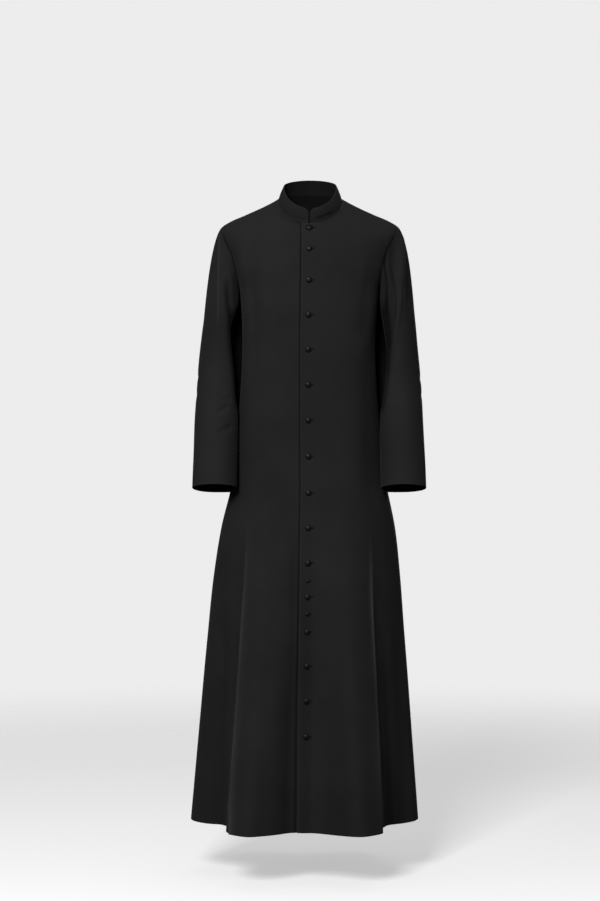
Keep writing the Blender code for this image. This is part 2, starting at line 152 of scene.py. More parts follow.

# Creases: the side of the garment they lie on, half width and height in millimetres (troughs are negative), how far
# the cloth falls away behind them, their path across that side, and their tone. Where the tone is positive it is
# painted light, making the cloth paler along ridges and over broad patches. Where it is negative it is painted
# shade, making the cloth darker in troughs, in the groove beside the front edge, in broad bands and round the
# collar. Across is x on the front and back and y on the outer side of a sleeve. A row with no height and nothing
# behind it only carries painted light or painted shade.
CREASE_COLUMNS = ("side", "width_mm", "height_mm", "behind_mm", "path", "tone")
BEHIND_WIDTH = 12 * MM
CREASE_END_SHARE = 0.25
PAINTED_SHADING_SHARE = 0.65
FRONT_RIGHT_CREASES = (
    ("front", 14.0, 0.0, 0.0, ((-0.0050, -0.056), (-0.0300, -0.050), (-0.0550, -0.038), (-0.0780, -0.018)), -0.35),
    ("front", 20.0, 0.0, 0.0, ((-0.1500, -0.055), (-0.1500, -0.140), (-0.1380, -0.250), (-0.1340, -0.450)), 0.30),
    ("front", 15.0, 0.0, 0.0, (
        (-0.1380, -0.720), (-0.1430, -0.856), (-0.1520, -1.000), (-0.1600, -1.155), (-0.1700, -1.360),
        (-0.1730, -1.600)
    ), 0.36),
    ("front", 8.0, 0.0, 0.0, ((-0.1600, -1.155), (-0.1720, -1.360), (-0.1750, -1.600)), 0.5),
    ("front", 20.0, 0.0, 0.0, ((-0.0360, -0.740), (-0.0370, -0.900), (-0.0400, -1.100)), -0.30),
    ("front", 22.0, 0.0, 0.0, (
        (-0.2080, -1.000), (-0.2130, -1.130), (-0.2170, -1.250), (-0.2200, -1.371), (-0.2260, -1.600)
    ), -0.27),
    ("front", 5.2, 2.2, 13.0, (
        (-0.1395, -0.720), (-0.1449, -0.856), (-0.1491, -0.923), (-0.1565, -1.042), (-0.1639, -1.155),
        (-0.1703, -1.259), (-0.1755, -1.360), (-0.1768, -1.440), (-0.1790, -1.700)
    ), 1.7),
    ("front", 1.5, -4.0, 0.0, (
        (-0.0208, 0.800), (-0.0208, -0.560), (-0.0204, -0.650), (-0.0215, -0.750), (-0.0230, -0.860),
        (-0.0246, -1.000), (-0.0258, -1.200), (-0.0270, -1.420), (-0.0272, -2.400)
    ), -1.0),
    ("front", 29.0, -17.0, 0.0, (
        (-0.0220, -0.960), (-0.0230, -1.150), (-0.0250, -1.300), (-0.0265, -1.480), (-0.0270, -1.700))
    ),
    ("front", 13.0, -14.0, 0.0, (
        (-0.1980, -0.900), (-0.2035, -1.060), (-0.2090, -1.190), (-0.2140, -1.365), (-0.2200, -1.600))
    ),
    ("front", 16.0, -2.5, 0.0, ((-0.1480, -0.180), (-0.1330, -0.235), (-0.1240, -0.310))),
)
FRONT_LEFT_CREASES = (
    ("front", 12.0, 0.0, 0.0, ((0.0050, -0.056), (0.0300, -0.050), (0.0550, -0.038), (0.0780, -0.018)), -0.32),
    ("front", 30.0, 0.0, 0.0, ((0.1260, -0.120), (0.1260, -0.400)), 0.30),
    ("front", 60.0, 0.0, 0.0, ((0.0500, -1.000), (0.0600, -1.150), (0.0700, -1.420), (0.0700, -1.700)), -0.30),
    ("front", 14.0, 0.0, 0.0, (
        (0.1900, -0.850), (0.1960, -1.030), (0.2020, -1.200), (0.2080, -1.340), (0.2160, -1.600)
    ), -0.42),
    ("front", 14.0, 0.0, 0.0, (
        (0.1490, -0.850), (0.1580, -1.050), (0.1670, -1.220), (0.1760, -1.400), (0.1800, -1.600)
    ), 2.0),
    ("front", 9.0, 0.0, 0.0, ((0.2140, -0.900), (0.2250, -1.200), (0.2400, -1.600)), 0.35),
    ("front", 14.0, 0.0, 0.0, (
        (0.1380, -0.760), (0.1400, -0.950), (0.1450, -1.100), (0.1500, -1.286), (0.1600, -1.440), (0.1640, -1.700)
    ), 0.5),
    ("front", 24.0, 0.0, 0.0, ((-0.0110, -0.760), (-0.0100, -1.000), (-0.0120, -1.250), (-0.0130, -1.700)), -0.34),
    ("front", 1.7, 0.7, 0.0, ((-0.0320, -0.0600), (0.0000, -0.0603), (0.0280, -0.0590)), 0.4),
    ("front", 5.2, 2.5, 2.0, (
        (0.1385, -0.740), (0.1410, -0.889), (0.1429, -0.950), (0.1482, -1.052), (0.1528, -1.157), (0.1566, -1.286),
        (0.1610, -1.371), (0.1655, -1.440), (0.1700, -1.700)
    ), 4.6),
    ("front", 13.0, 5.0, 0.0, ((0.1560, -1.120), (0.1640, -1.300), (0.1700, -1.440), (0.1740, -1.800))),
    ("front", 2.6, 0.8, 0.0, (
        (-0.0172, 0.800), (-0.0172, -0.560), (-0.0168, -0.650), (-0.0178, -0.750), (-0.0193, -0.860),
        (-0.0209, -1.000), (-0.0221, -1.200), (-0.0234, -1.420), (-0.0236, -2.400)
    ), 0.15),
    ("front", 22.0, -8.0, 0.0, (
        (0.1620, -0.820), (0.1720, -0.950), (0.1800, -1.100), (0.1870, -1.250), (0.1920, -1.400), (0.1960, -1.600))
    ),
    ("front", 16.0, -4.0, 0.0, ((0.1500, -0.110), (0.1400, -0.170), (0.1300, -0.240), (0.1260, -0.330))),
    ("front", 22.0, -6.0, 0.0, ((0.1400, -0.250), (0.1400, -0.400), (0.1420, -0.560), (0.1480, -0.760))),
)
BACK_CREASES = (
    ("back", 14.0, -4.0, 0.0, ((0.1350, -0.190), (0.1180, -0.270), (0.1080, -0.360))),
    ("back", 13.0, -4.5, 0.0, ((-0.1340, -0.175), (-0.1200, -0.250), (-0.1120, -0.335))),
    ("back", 10.0, -2.5, 0.0, ((0.1150, -0.430), (0.0600, -0.455), (0.0150, -0.440))),
    ("back", 9.0, -2.2, 0.0, ((-0.1080, -0.465), (-0.0550, -0.487), (-0.0100, -0.470))),
    ("back", 4.5, 1.6, 0.0, ((0.0820, -0.900), (0.0960, -1.060), (0.1110, -1.230), (0.1230, -1.440))),
    ("back", 4.5, 1.6, 0.0, ((-0.0840, -0.860), (-0.1010, -1.050), (-0.1190, -1.230), (-0.1330, -1.440))),
    ("back", 17.0, -5.0, 0.0, ((0.0330, -0.980), (0.0370, -1.160), (0.0430, -1.440))),
    ("back", 15.0, -4.5, 0.0, ((-0.0300, -1.050), (-0.0380, -1.220), (-0.0480, -1.440))),
    ("back", 11.0, -3.5, 0.0, ((0.1850, -1.000), (0.1960, -1.180), (0.2030, -1.440))),
    ("back", 11.0, -3.5, 0.0, ((-0.1930, -0.960), (-0.2050, -1.170), (-0.2140, -1.440))),
)
# The collar's first two rows, like the first row of each front, carry only painted shade: a painted shadow on the
# collar and just below its seam.
COLLAR_CREASES = (
    ("front", 40.0, 0.0, 0.0, (
        (-0.1400, 0.000), (-0.0600, -0.030), (0.0000, -0.045), (0.0600, -0.030), (0.1400, 0.000)
    ), -0.38),
    ("front", 16.0, 0.0, 0.0, ((-0.0100, -0.055), (0.0200, -0.045), (0.0500, -0.030), (0.0900, -0.005)), -0.20),
    ("front", 3.0, -1.6, 0.0, ((0.0080, -0.0485), (0.0240, -0.0445), (0.0400, -0.0375), (0.0600, -0.0280)), -0.4),
    ("front", 3.5, 0.9, 0.0, ((0.0120, -0.0420), (0.0300, -0.0370), (0.0480, -0.0290))),
    ("front", 3.2, -1.0, 0.0, ((-0.0080, -0.0500), (-0.0240, -0.0475), (-0.0420, -0.0400)), -0.3),
)
SLEEVE_RIGHT_CREASES = (
    ("front", 7.5, -5.5, 0.0, ((-0.1895, -0.170), (-0.1850, -0.234), (-0.1755, -0.285), (-0.1680, -0.330)), -0.75),
    ("front", 9.0, 3.0, 0.0, ((-0.1787, -0.160), (-0.1765, -0.235))),
    ("front", 2.6, 1.4, 3.0, ((-0.2095, -0.030), (-0.2095, -0.130), (-0.2095, -0.210), (-0.2075, -0.320)), 1.0),
    ("front", 6.5, -3.6, 0.0, ((-0.2120, -0.441), (-0.1900, -0.455), (-0.1700, -0.461))),
    ("front", 6.0, -3.0, 0.0, ((-0.2150, -0.492), (-0.1960, -0.482), (-0.1780, -0.472))),
    ("front", 6.5, -3.2, 0.0, ((-0.2080, -0.533), (-0.1860, -0.527), (-0.1690, -0.514))),
    ("back", 7.0, -3.0, 0.0, ((-0.1750, -0.385), (-0.2000, -0.402), (-0.2280, -0.396))),
    ("back", 6.5, -2.6, 0.0, ((-0.1800, -0.425), (-0.2050, -0.436), (-0.2320, -0.424))),
    ("back", 9.0, -4.0, 0.0, ((-0.2250, -0.170), (-0.2050, -0.235), (-0.1900, -0.300))),
    ("side", 8.0, -1.3, 0.0, ((-0.0300, -0.395), (0.0000, -0.410), (0.0350, -0.402))),
    ("side", 7.0, -1.1, 0.0, ((-0.0450, -0.455), (-0.0150, -0.448), (0.0200, -0.438))),
    ("side", 9.0, -3.0, 0.0, ((0.0350, -0.150), (0.0200, -0.220), (0.0080, -0.300))),
)
SLEEVE_LEFT_CREASES = (
    ("front", 5.5, -6.5, 0.0, (
        (0.1720, -0.060), (0.1700, -0.147), (0.1690, -0.220), (0.1710, -0.285), (0.1755, -0.343), (0.1825, -0.420)
    ), -0.85),
    ("front", 3.5, -2.4, 0.0, ((0.1850, -0.130), (0.1925, -0.190), (0.1965, -0.235), (0.1930, -0.300)), -0.55),
    ("front", 6.5, 4.0, 0.0, (
        (0.2135, -0.050), (0.2115, -0.138), (0.2058, -0.234), (0.1966, -0.302), (0.1840, -0.365), (0.1700, -0.430))
    ),
    ("front", 15.0, -8.0, 0.0, (
        (0.1880, -0.040), (0.1870, -0.130), (0.1850, -0.220), (0.1830, -0.290), (0.1800, -0.390)
    ), -0.36),
    ("front", 2.6, 1.4, 3.0, ((0.2155, -0.060), (0.2160, -0.120), (0.2175, -0.190), (0.2180, -0.270)), 0.9),
    ("front", 6.5, -2.2, 0.0, ((0.2160, -0.452), (0.1950, -0.462), (0.1760, -0.458))),
    ("front", 6.0, -2.0, 0.0, ((0.2230, -0.505), (0.2000, -0.498), (0.1800, -0.486))),
    ("back", 7.0, -3.0, 0.0, ((0.1760, -0.390), (0.2020, -0.399), (0.2300, -0.390))),
    ("back", 6.0, -2.6, 0.0, ((0.1820, -0.430), (0.2070, -0.442), (0.2340, -0.433))),
    ("back", 9.0, -4.0, 0.0, ((0.2260, -0.150), (0.2080, -0.220), (0.1950, -0.290))),
    ("side", 8.0, -1.3, 0.0, ((-0.0320, -0.402), (-0.0050, -0.412), (0.0330, -0.396))),
    ("side", 7.0, -1.1, 0.0, ((-0.0480, -0.462), (-0.0180, -0.450), (0.0180, -0.444))),
    ("side", 9.0, -3.0, 0.0, ((0.0300, -0.135), (0.0220, -0.210), (0.0050, -0.290))),
)

# How finely the pieces are divided: rows up a panel and along its armhole, and columns in each gap of the fold
# table, from the centre front and from the side seam.
BODY_ROWS = (298, 40)
LAP_COLUMNS = 9
FRONT_COLUMNS = (16, 12, 8, 8, 8, 8, 7, 7, 8, 9, 8, 8)
BACK_COLUMNS = (7,) * 9
HALF_SLEEVE_COLUMNS = 64
SLEEVE_CAP_ROWS = 26
SLEEVE_ARM_ROWS = 122

# The camera: lens and sensor in millimetres, and the picture's shift and height in pixels.
LENS_MM = 95.5
SENSOR_MM = 36.0
SHIFT_PX = -9.1
PICTURE_PX = 901
CAMERA_PLACE = (0.0, -5.5, -0.575)


# ---------------------------------------------------------------------------------------------------------------
# Curves and surfaces
# ---------------------------------------------------------------------------------------------------------------


def smooth(knots, values, at):
    """A cubic through the values, each row's slope that of the parabola through it and its neighbours."""
    knots = np.asarray(knots, float)
    values = np.asarray(values, float)
    step = np.diff(knots)
    slope = np.diff(values) / step
    inner = (step[:-1] * slope[1:] + step[1:] * slope[:-1]) / (step[:-1] + step[1:])
    tangent = np.concatenate([slope[:1], inner, slope[-1:]])
    span = np.clip(np.searchsorted(knots, at, side="right") - 1, 0, len(step) - 1)
    t = (at - knots[span]) / step[span]
    low = values[span] * (1 + 2 * t) * (1 - t) ** 2 + values[span + 1] * t * t * (3 - 2 * t)
    return low + step[span] * (tangent[span] * t * (1 - t) ** 2 - tangent[span + 1] * t * t * (1 - t))


def eased(share):
    """0 to 1 as share goes from 0 to 1, level at both ends: 3 s squared less 2 s cubed."""
    share = np.clip(share, 0, 1)
    return share * share * (3 - 2 * share)


def fade(value, start, end):
    """0 where the value is at start and 1 where it is at end, eased between."""
    return eased((value - start) / (end - start))


def unit(vectors):
    return vectors / np.maximum(np.linalg.norm(vectors, axis=-1, keepdims=True), 1e-12)


def ring_stations():
    """Each ring's distance from the hem, measured up the side of the garment."""
    rings = [dict(zip(RING_COLUMNS, ring)) for ring in RINGS.values()]
    widths = np.array([ring["half_width"] + ring["point"] for ring in rings])
    heights = np.array([ring["side_z"] for ring in rings])
    return np.concatenate([[0], np.cumsum(np.hypot(np.diff(widths), np.diff(heights)))])


STATIONS = dict(zip(RINGS, ring_stations()))


def ring_point(angle, ring, reach=0.0):
    """A level section: an ellipse whose front and back depths differ, filled out at 45 degrees. Its height leans
    from back to front with the cosine and dips away from a rounded ridge along the side."""
    cos, sin = np.cos(angle), np.sin(angle)
    whole = math.hypot(1, RIDGE_ROUNDING) - RIDGE_ROUNDING
    ridge = (np.hypot(cos, RIDGE_ROUNDING) - RIDGE_ROUNDING) / whole
    fill = 1 + ring.get("square", 0) * np.sin(2 * angle) ** 2
    mean_depth = (ring["front"] + ring["back"]) / 2
    extra_front = (ring["front"] - ring["back"]) / 2
    forward = (mean_depth * cos + extra_front * cos**2) * fill + reach * cos
    drawn_out = ring.get("point", 0) * sin**POINT_SHARPNESS * np.sign(sin)
    across = ring["half_width"] * sin * fill + drawn_out + reach * sin + ring.get("sway", 0)
    lean = (ring["front_z"] - ring["back_z"]) / 2
    dip = (ring["front_z"] + ring["back_z"]) / 2 - ring["side_z"]
    height = ring["side_z"] + lean * cos + dip * ridge
    return np.stack(np.broadcast_arrays(across, -forward, height), axis=-1)


def fold_reach(angle):
    """How far the folds stand out at the hem. The table is mirrored about the front and about the back."""
    turns = list(FOLDS)
    knots = [-turns[1]] + turns + [360 - turns[-2]]
    reaches = [FOLDS[turns[1]]] + list(FOLDS.values()) + [FOLDS[turns[-2]]]
    return smooth(knots, reaches, np.abs((np.degrees(angle) + 180) % 360 - 180))


def body_point(angle, station):
    """The outer face of the body at an angle from the front and a distance up from the hem."""
    knots = list(STATIONS.values())
    columns = zip(*RINGS.values())
    ring = {name: smooth(knots, column, station) for name, column in zip(RING_COLUMNS, columns)}
    return ring_point(angle, ring, ring["fold"] * fold_reach(angle))


def body_normal(angle, station):
    """The outward normal of the plain body: its slope round crossed with its slope up."""
    station = np.clip(station, STEP, STATIONS["neck"] - STEP)
    around = body_point(angle + STEP, station) - body_point(angle - STEP, station)
    upward = body_point(angle, station + STEP) - body_point(angle, station - STEP)
    return unit(np.cross(around, upward))


def grid_normals(grid, tube=False):
    """Outward normals of a grid whose rows go up and whose columns go left to right, seen from outside."""
    if tube:
        around = np.roll(grid, -1, axis=1) - np.roll(grid, 1, axis=1)
    else:
        around = np.gradient(grid, axis=1)
    return unit(np.cross(around, np.gradient(grid, axis=0)))


def armhole_span():
    """The middle and half length of the armhole, as distances up from the hem."""
    return (STATIONS["tip"] + STATIONS["underarm"]) / 2, (STATIONS["tip"] - STATIONS["underarm"]) / 2


def body_rows(count, armhole_count):
    """The rows of a body panel: evenly spaced, but round half a circle's spacing along the armhole."""
    middle, half = armhole_span()
    top = STATIONS["neck"] - middle - half
    below = np.linspace(0, middle - half, count, endpoint=False)
    beside = middle - half * np.cos(np.linspace(0, math.pi, armhole_count, endpoint=False))
    above = np.linspace(middle + half, STATIONS["neck"], max(3, round(count * top / (middle - half))))
    return np.concatenate([below, beside, above])


def side_angle(station, opening_deg):
    """Where a panel ends: at the side, or short of it by the armhole, half an ellipse that narrows upwards."""
    middle, half = armhole_span()
    up = (station - middle) / half
    across = np.sqrt(np.clip(1 - up**2, 0, None)) * (1 - ARMHOLE_NARROWS * up)
    return math.pi / 2 - math.radians(opening_deg) * across


def seam_calm(from_side, station, opening_deg):
    """0 at the armhole's edge and the neck seam and 1 a little way off, so that panels keep meeting there."""
    middle, half = armhole_span()
    up = (station - middle) / half
    opening = math.radians(opening_deg) * (1 - ARMHOLE_NARROWS * np.clip(up, -1, 1))
    reach = np.hypot(up, from_side / opening)
    return fade(reach, 1, 1.35) * fade(station, STATIONS["neck"], STATIONS["neck"] - 20 * MM)


def past_centre(station, distance):
    """The angle at which the body's face is this far sideways from the centre front."""
    speed = (body_point(STEP, station) - body_point(-STEP, station))[..., 0] / (2 * STEP)
    return distance / speed


def fold_columns(low, high, steps):
    """The fold table's angles from low to high, in degrees, each gap between them split into its number of steps."""
    knots = [angle for angle in FOLDS if low <= angle <= high]
    spans = [np.linspace(start, end, count, endpoint=False) for start, end, count in zip(knots, knots[1:], steps)]
    return np.concatenate([*spans, [high]])


def shoulder_shift(points):
    """The wearer stands a little to the left: the shoulders and neck lie over by a few millimetres, eased in over
    the chest."""
    share = fade(points[..., 2], -0.34, -0.10)
    return points + share[..., None] * [0.0024, 0.0, 0.0]


def waviness(points, seed, size, height):
    """Slight unevenness of hung cloth: the mean of eight sine waves across the three axes, with set directions."""
    rng = np.random.default_rng(seed)
    total = np.zeros(points.shape[:-1])
    for _ in range(8):
        way = rng.normal(size=3) * [1.0, 1.0, 0.45]
        way /= np.linalg.norm(way)
        length = size * rng.uniform(0.7, 1.6)
        total += np.sin(points @ way * 2 * math.pi / length + rng.uniform(0, 2 * math.pi))
    return height * total / 8


def body_waviness(points):
    """The body's unevenness: one field for all its panels, stilled along the line of buttons."""
    along_front = fade(np.abs(points[..., 0]), 0.02, 0.05)
    return waviness(points, 3, 0.16, 1.8 * MM) * np.where(points[..., 1] < 0, along_front, 1.0)


def crease_height(grid, normal, creases):
    """The sum of the creases: each is its height times a bell curve of the distance from its path, seen square on
    to its side of the garment, and dies away towards both of the path's ends and where the cloth turns away. Where
    it has a depth behind it, the cloth falls off on its outer side, by distance times a falling exponential."""
    total = np.zeros(grid.shape[:-1])
    painted_shading = np.zeros(grid.shape[:-1])
    for row in creases:
        crease = dict(zip(CREASE_COLUMNS, row))
        path = np.array(crease["path"], float)
        if crease["side"] == "side":
            flat = grid[..., 1:]
            facing = np.abs(normal[..., 0])
            facing = facing * (np.sign(normal[..., 0]) == np.sign(grid[..., 0]))
        else:
            flat = grid[..., [0, 2]]
            facing = -normal[..., 1] if crease["side"] == "front" else normal[..., 1]
        lengths = np.linalg.norm(np.diff(path, axis=0), axis=1)
        whole = lengths.sum()
        nearest = np.full(total.shape, np.inf)
        along, beside = np.zeros(total.shape), np.zeros(total.shape)
        run = 0.0
        for start, end, length in zip(path, path[1:], lengths):
            way = (end - start) / length
            t = np.clip((flat - start) @ way, 0, length)
            off = flat - start - t[..., None] * way
            distance = np.linalg.norm(off, axis=-1)
            along = np.where(distance < nearest, run + t, along)
            beside = np.where(distance < nearest, off[..., 0] * np.sign(start[0]), beside)
            nearest = np.minimum(nearest, distance)
            run += length
        ends = fade(along / whole, 0, CREASE_END_SHARE) * fade(along / whole, 1, 1 - CREASE_END_SHARE)
        bell = crease["height_mm"] * np.exp(-((nearest / (crease["width_mm"] * MM)) ** 2))
        behind = np.clip(beside, 0, None) / BEHIND_WIDTH
        fall = -crease["behind_mm"] * behind * np.exp(1 - behind)
        total += (bell + fall) * MM * ends * eased(facing * 3)
        # The tone is painted: a painted highlight along the crease where it is positive and painted shade where it is
        # negative, on a band narrower than the crease.
        tone = crease.get("tone", 1.0 if crease["behind_mm"] else 0.0)
        band = np.exp(-((nearest / (PAINTED_SHADING_SHARE * crease["width_mm"] * MM)) ** 2))
        painted_shading += tone * band * ends * eased(facing * 3 + 1)
    return total, painted_shading


# ---------------------------------------------------------------------------------------------------------------
# From grids to pieces
# ---------------------------------------------------------------------------------------------------------------


def round_border(grid, radius):
    """Adds three lines just inside the first and last rows, spaced as a quarter circle's foot is. Returns the grid
    and how far each row's face is rolled in, as a share of the radius."""
    turns = np.radians([0, 30, 60, 90])
    spans = (1 - np.cos(turns)) * radius
    drops = 1 - np.sin(turns)

    def lines(first, second):
        gap = np.linalg.norm((second - first)[..., :3], axis=-1, keepdims=True)
        return [first + (second - first) * np.minimum(span / gap, 0.2 * k) for k, span in enumerate(spans)]

    low = lines(grid[0], grid[1])
    high = lines(grid[-1], grid[-2])
    rows = np.concatenate([low, grid[1:-1], high[::-1]])
    drop = np.concatenate([drops, np.zeros(len(grid) - 2), drops[::-1]])
    return rows, drop


def corners(values):
    """The values at the four corners of each cell of a grid, in the order that turns a face outwards."""
    return np.stack([values[:-1, :-1], values[:-1, 1:], values[1:, 1:], values[1:, :-1]], axis=2)


def cloth_shell(name, grid, wall, material, tube=False):
    """A wall of cloth under a grid of points, with every edge rolled round by half the wall's thickness. A grid has
    four values for each point: its place, and its painted shading, paler for a painted highlight and darker for
    painted shade.

    The outer face is the grid less the roll, and the inner face lies one wall further in, less the same roll, so
    the two meet along the edges. The UV map is the distance in metres along the rows and columns, and the
    attribute edge is the distance to the nearest free edge."""
    radius = wall / 2
    grid, row_drop = round_border(grid, radius)
    column_drop = np.zeros(grid.shape[1])
    if not tube:
        grid, column_drop = round_border(np.swapaxes(grid, 0, 1), radius)
        grid = np.swapaxes(grid, 0, 1)
    drop = np.maximum(row_drop[:, None], column_drop[None, :])
    grid, painted_shading = grid[..., :3], grid[..., 3]
    normal = grid_normals(grid, tube)
    outer = grid - normal * (drop * radius)[..., None]
    inner = grid - normal * (wall - drop * radius)[..., None]
    rows, columns = drop.shape
    number = np.arange(rows * columns).reshape(rows, columns)
    behind = number + rows * columns
    shared = drop >= 1
    behind = np.where(shared, number, behind)
    if tube:
        number = np.column_stack([number, number[:, 0]])
        behind = np.column_stack([behind, behind[:, 0]])
    turned_round = [0, 3, 2, 1]
    front = corners(number).reshape(-1, 4)
    back = corners(behind)[:, :, turned_round].reshape(-1, 4)
    step_across = np.linalg.norm(np.diff(grid, axis=1), axis=-1)
    step_up = np.linalg.norm(np.diff(grid, axis=0), axis=-1)
    across = np.column_stack([np.zeros(rows), np.cumsum(step_across, axis=1)])
    across -= across[:, columns // 2, None]
    up = np.vstack([np.zeros(columns), np.cumsum(step_up, axis=0)])
    edge = np.minimum(up, up[-1] - up)
    if not tube:
        from_left = across - across[:, :1]
        edge = np.minimum(edge, np.minimum(from_left, from_left[:, -1:] - from_left))
    if tube:
        closing = across[:, -1:] + np.linalg.norm(grid[:, :1] - grid[:, -1:], axis=-1)
        across = np.column_stack([across, closing])
        up = np.column_stack([up, up[:, 0]])
    front_uv = corners(np.stack([across, up], axis=-1))
    back_uv = front_uv[:, :, turned_round]
    points = np.concatenate([outer.reshape(-1, 3), inner.reshape(-1, 3)])
    uv = np.concatenate([front_uv.reshape(-1, 2), back_uv.reshape(-1, 2)])
    # The inner faces get painted shade: their tone is lowered by INSIDE_SHADE, down to DARKEST_TONE.
    inside = np.clip(painted_shading - INSIDE_SHADE, DARKEST_TONE, None)
    tones = np.concatenate([painted_shading.reshape(-1), inside.reshape(-1)])
    marks = {"edge": np.tile(edge.reshape(-1), 2), "painted_shading": tones}
    cells = np.cross(np.diff(grid[:-1], axis=1), np.diff(grid[:, :-1], axis=0))
    area = float(np.sum(np.linalg.norm(cells, axis=-1)))
    return add_mesh(name, points, np.concatenate([front, back]), material, uv, marks), area


def add_mesh(name, points, faces, material, uv=None, marks=None):
    """A mesh object from arrays: points, faces of four corners, a UV pair per corner and named values per point.
    Points that no face uses are left out, and a face with a repeated corner becomes a triangle."""
    used, index = np.unique(faces, return_inverse=True)
    faces = index.reshape(faces.shape)
    points = points[used]
    mesh = bpy.data.meshes.new(name)
    mesh.vertices.add(len(points))
    mesh.vertices.foreach_set("co", points.astype(np.float32).ravel())
    mesh.loops.add(faces.size)
    mesh.loops.foreach_set("vertex_index", faces.astype(np.int32).ravel())
    mesh.polygons.add(len(faces))
    mesh.polygons.foreach_set("loop_start", np.arange(0, faces.size, faces.shape[1], dtype=np.int32))
    mesh.update(calc_edges=True)
    if uv is not None:
        mesh.uv_layers.new(name="cloth").data.foreach_set("uv", uv.astype(np.float32).ravel())
    for mark, values in (marks or {}).items():
        mesh.attributes.new(mark, "FLOAT", "POINT").data.foreach_set("value", values[used].astype(np.float32))
    mesh.validate()
    mesh.shade_smooth()
    mesh.materials.append(material)
    piece = bpy.data.objects.new(name, mesh)
    bpy.context.scene.collection.objects.link(piece)
    return piece


# ---------------------------------------------------------------------------------------------------------------
# The pieces' grids
# ---------------------------------------------------------------------------------------------------------------


def front_grid(side, past, drop, creases):
    """A front panel: the body's face from past the centre to the side seam and armhole, sunk by drop where it
    lies under the other front, plus its creases and a slight waviness along the normal."""
    stations = body_rows(*BODY_ROWS)
    if side > 0:
        past = past - button_line(body_point(np.zeros_like(stations), stations)[:, 2])
    opening = ARMHOLE_FRONT_DEG[side]
    end = side_angle(stations, opening)
    columns = fold_columns(0, 90, FRONT_COLUMNS) / 90
    lap = np.linspace(1, 0, LAP_COLUMNS, endpoint=False)[None, :] * -past_centre(stations, past)[:, None]
    angles = np.column_stack([lap, end[:, None] * columns]) * side
    station = np.repeat(stations[:, None], angles.shape[1], axis=1)
    start, finish = UNDERLAP_FADE_DEG
    sunk = drop * fade(np.degrees(angles) * side, finish, start)
    base = body_point(angles, station)
    normal = body_normal(angles, station)
    height, painted_shading = crease_height(base, normal, creases)
    height = (height + body_waviness(base)) * seam_calm(math.pi / 2 - angles * side, station, opening)
    points = shoulder_shift(base + normal * (height - sunk)[..., None])
    return np.concatenate([points, painted_shading[..., None]], axis=-1)[:, ::side]


def back_grid(creases):
    """The back panel, from the +X side seam round to the -X one, with its creases along the normal."""
    stations = body_rows(*BODY_ROWS)
    end = side_angle(stations, ARMHOLE_BACK_DEG)
    share = (180 - fold_columns(90, 180, BACK_COLUMNS)) / 90
    half = math.pi - end[:, None] * share
    angles = np.column_stack([half, 2 * math.pi - half[:, -2::-1]])
    station = np.repeat(stations[:, None], angles.shape[1], axis=1)
    base = body_point(angles, station)
    normal = body_normal(angles, station)
    height, painted_shading = crease_height(base, normal, creases)
    beyond_side = math.pi / 2 - np.abs(angles - math.pi)
    height = (height + body_waviness(base)) * seam_calm(beyond_side, station, ARMHOLE_BACK_DEG)
    return np.concatenate([shoulder_shift(base + normal * height[..., None]), painted_shading[..., None]], axis=-1)


def armhole_loop(steps, opening):
    """The edge of the armhole, as if it were on +X, from the shoulder tip down its front and up its back."""
    middle, half = armhole_span()
    stations = middle + half * np.cos(np.linspace(0, math.pi, steps + 1))
    front = body_point(side_angle(stations, opening), stations)
    back = body_point(math.pi - side_angle(stations, ARMHOLE_BACK_DEG), stations)
    tip = (front[0] + back[0]) / 2
    underarm = (front[-1] + back[-1]) / 2
    return np.vstack([tip, front[1:-1], underarm, back[-2:0:-1]])


def uneven_body(angle, station):
    """The body's outer face with its slight unevenness."""
    base = body_point(angle, station)
    return base + body_normal(angle, station) * body_waviness(base)[..., None]


def body_side(depth, height):
    """How far out, towards +X, the body's face lies at each depth and height, read from a table of its level
    sections."""
    stations = np.linspace(0, STATIONS["underarm"], 240)
    angles = np.linspace(0, math.pi, 181)
    side_z = body_point(math.pi / 2, stations)[:, 2]
    depths = np.linspace(-0.16, 0.14, 121)
    sections = [uneven_body(angles, np.full_like(angles, station)) for station in stations]
    table = np.array([np.interp(depths, section[:, 1], section[:, 0]) for section in sections])
    row = np.interp(height, side_z, np.arange(len(stations)))
    column = np.interp(depth, depths, np.arange(len(depths)))
    low_row = np.clip(row.astype(int), 0, len(stations) - 2)
    low_column = np.clip(column.astype(int), 0, len(depths) - 2)
    up, right = row - low_row, column - low_column
    near = table[low_row, low_column] * (1 - right) + table[low_row, low_column + 1] * right
    far = table[low_row + 1, low_column] * (1 - right) + table[low_row + 1, low_column + 1] * right
    return near * (1 - up) + far * up


def softly_above(value, floor, width):
    """The larger of the two, blended over a width: the width times the logarithm of the summed exponentials."""
    return floor + width * np.logaddexp(0, (value - floor) / width)


def sleeve_rings(turn, rows):
    """The sleeve below its cap: tilted ellipses down the arm, held off the body's side."""
    table = dict(zip(SLEEVE_COLUMNS, np.array(list(SLEEVE.values())).T))
    drop = -np.linspace(table["z"][0], table["z"][-1], rows)[:, None]
    arm = {name: smooth(-table["z"], column, drop) for name, column in table.items()}
    across = arm["x"] + arm["half_x"] * np.cos(turn)
    depth = arm["y"] - arm["half_y"] * np.sin(turn)
    height = arm["z"] + arm["half_y"] * np.sin(turn) * np.tan(np.radians(arm["tilt_deg"]))
    across = softly_above(across, body_side(depth, height) + SLEEVE_CLEARANCE, SLEEVE_SOFTNESS)
    return np.stack(np.broadcast_arrays(across, depth, height), axis=-1)


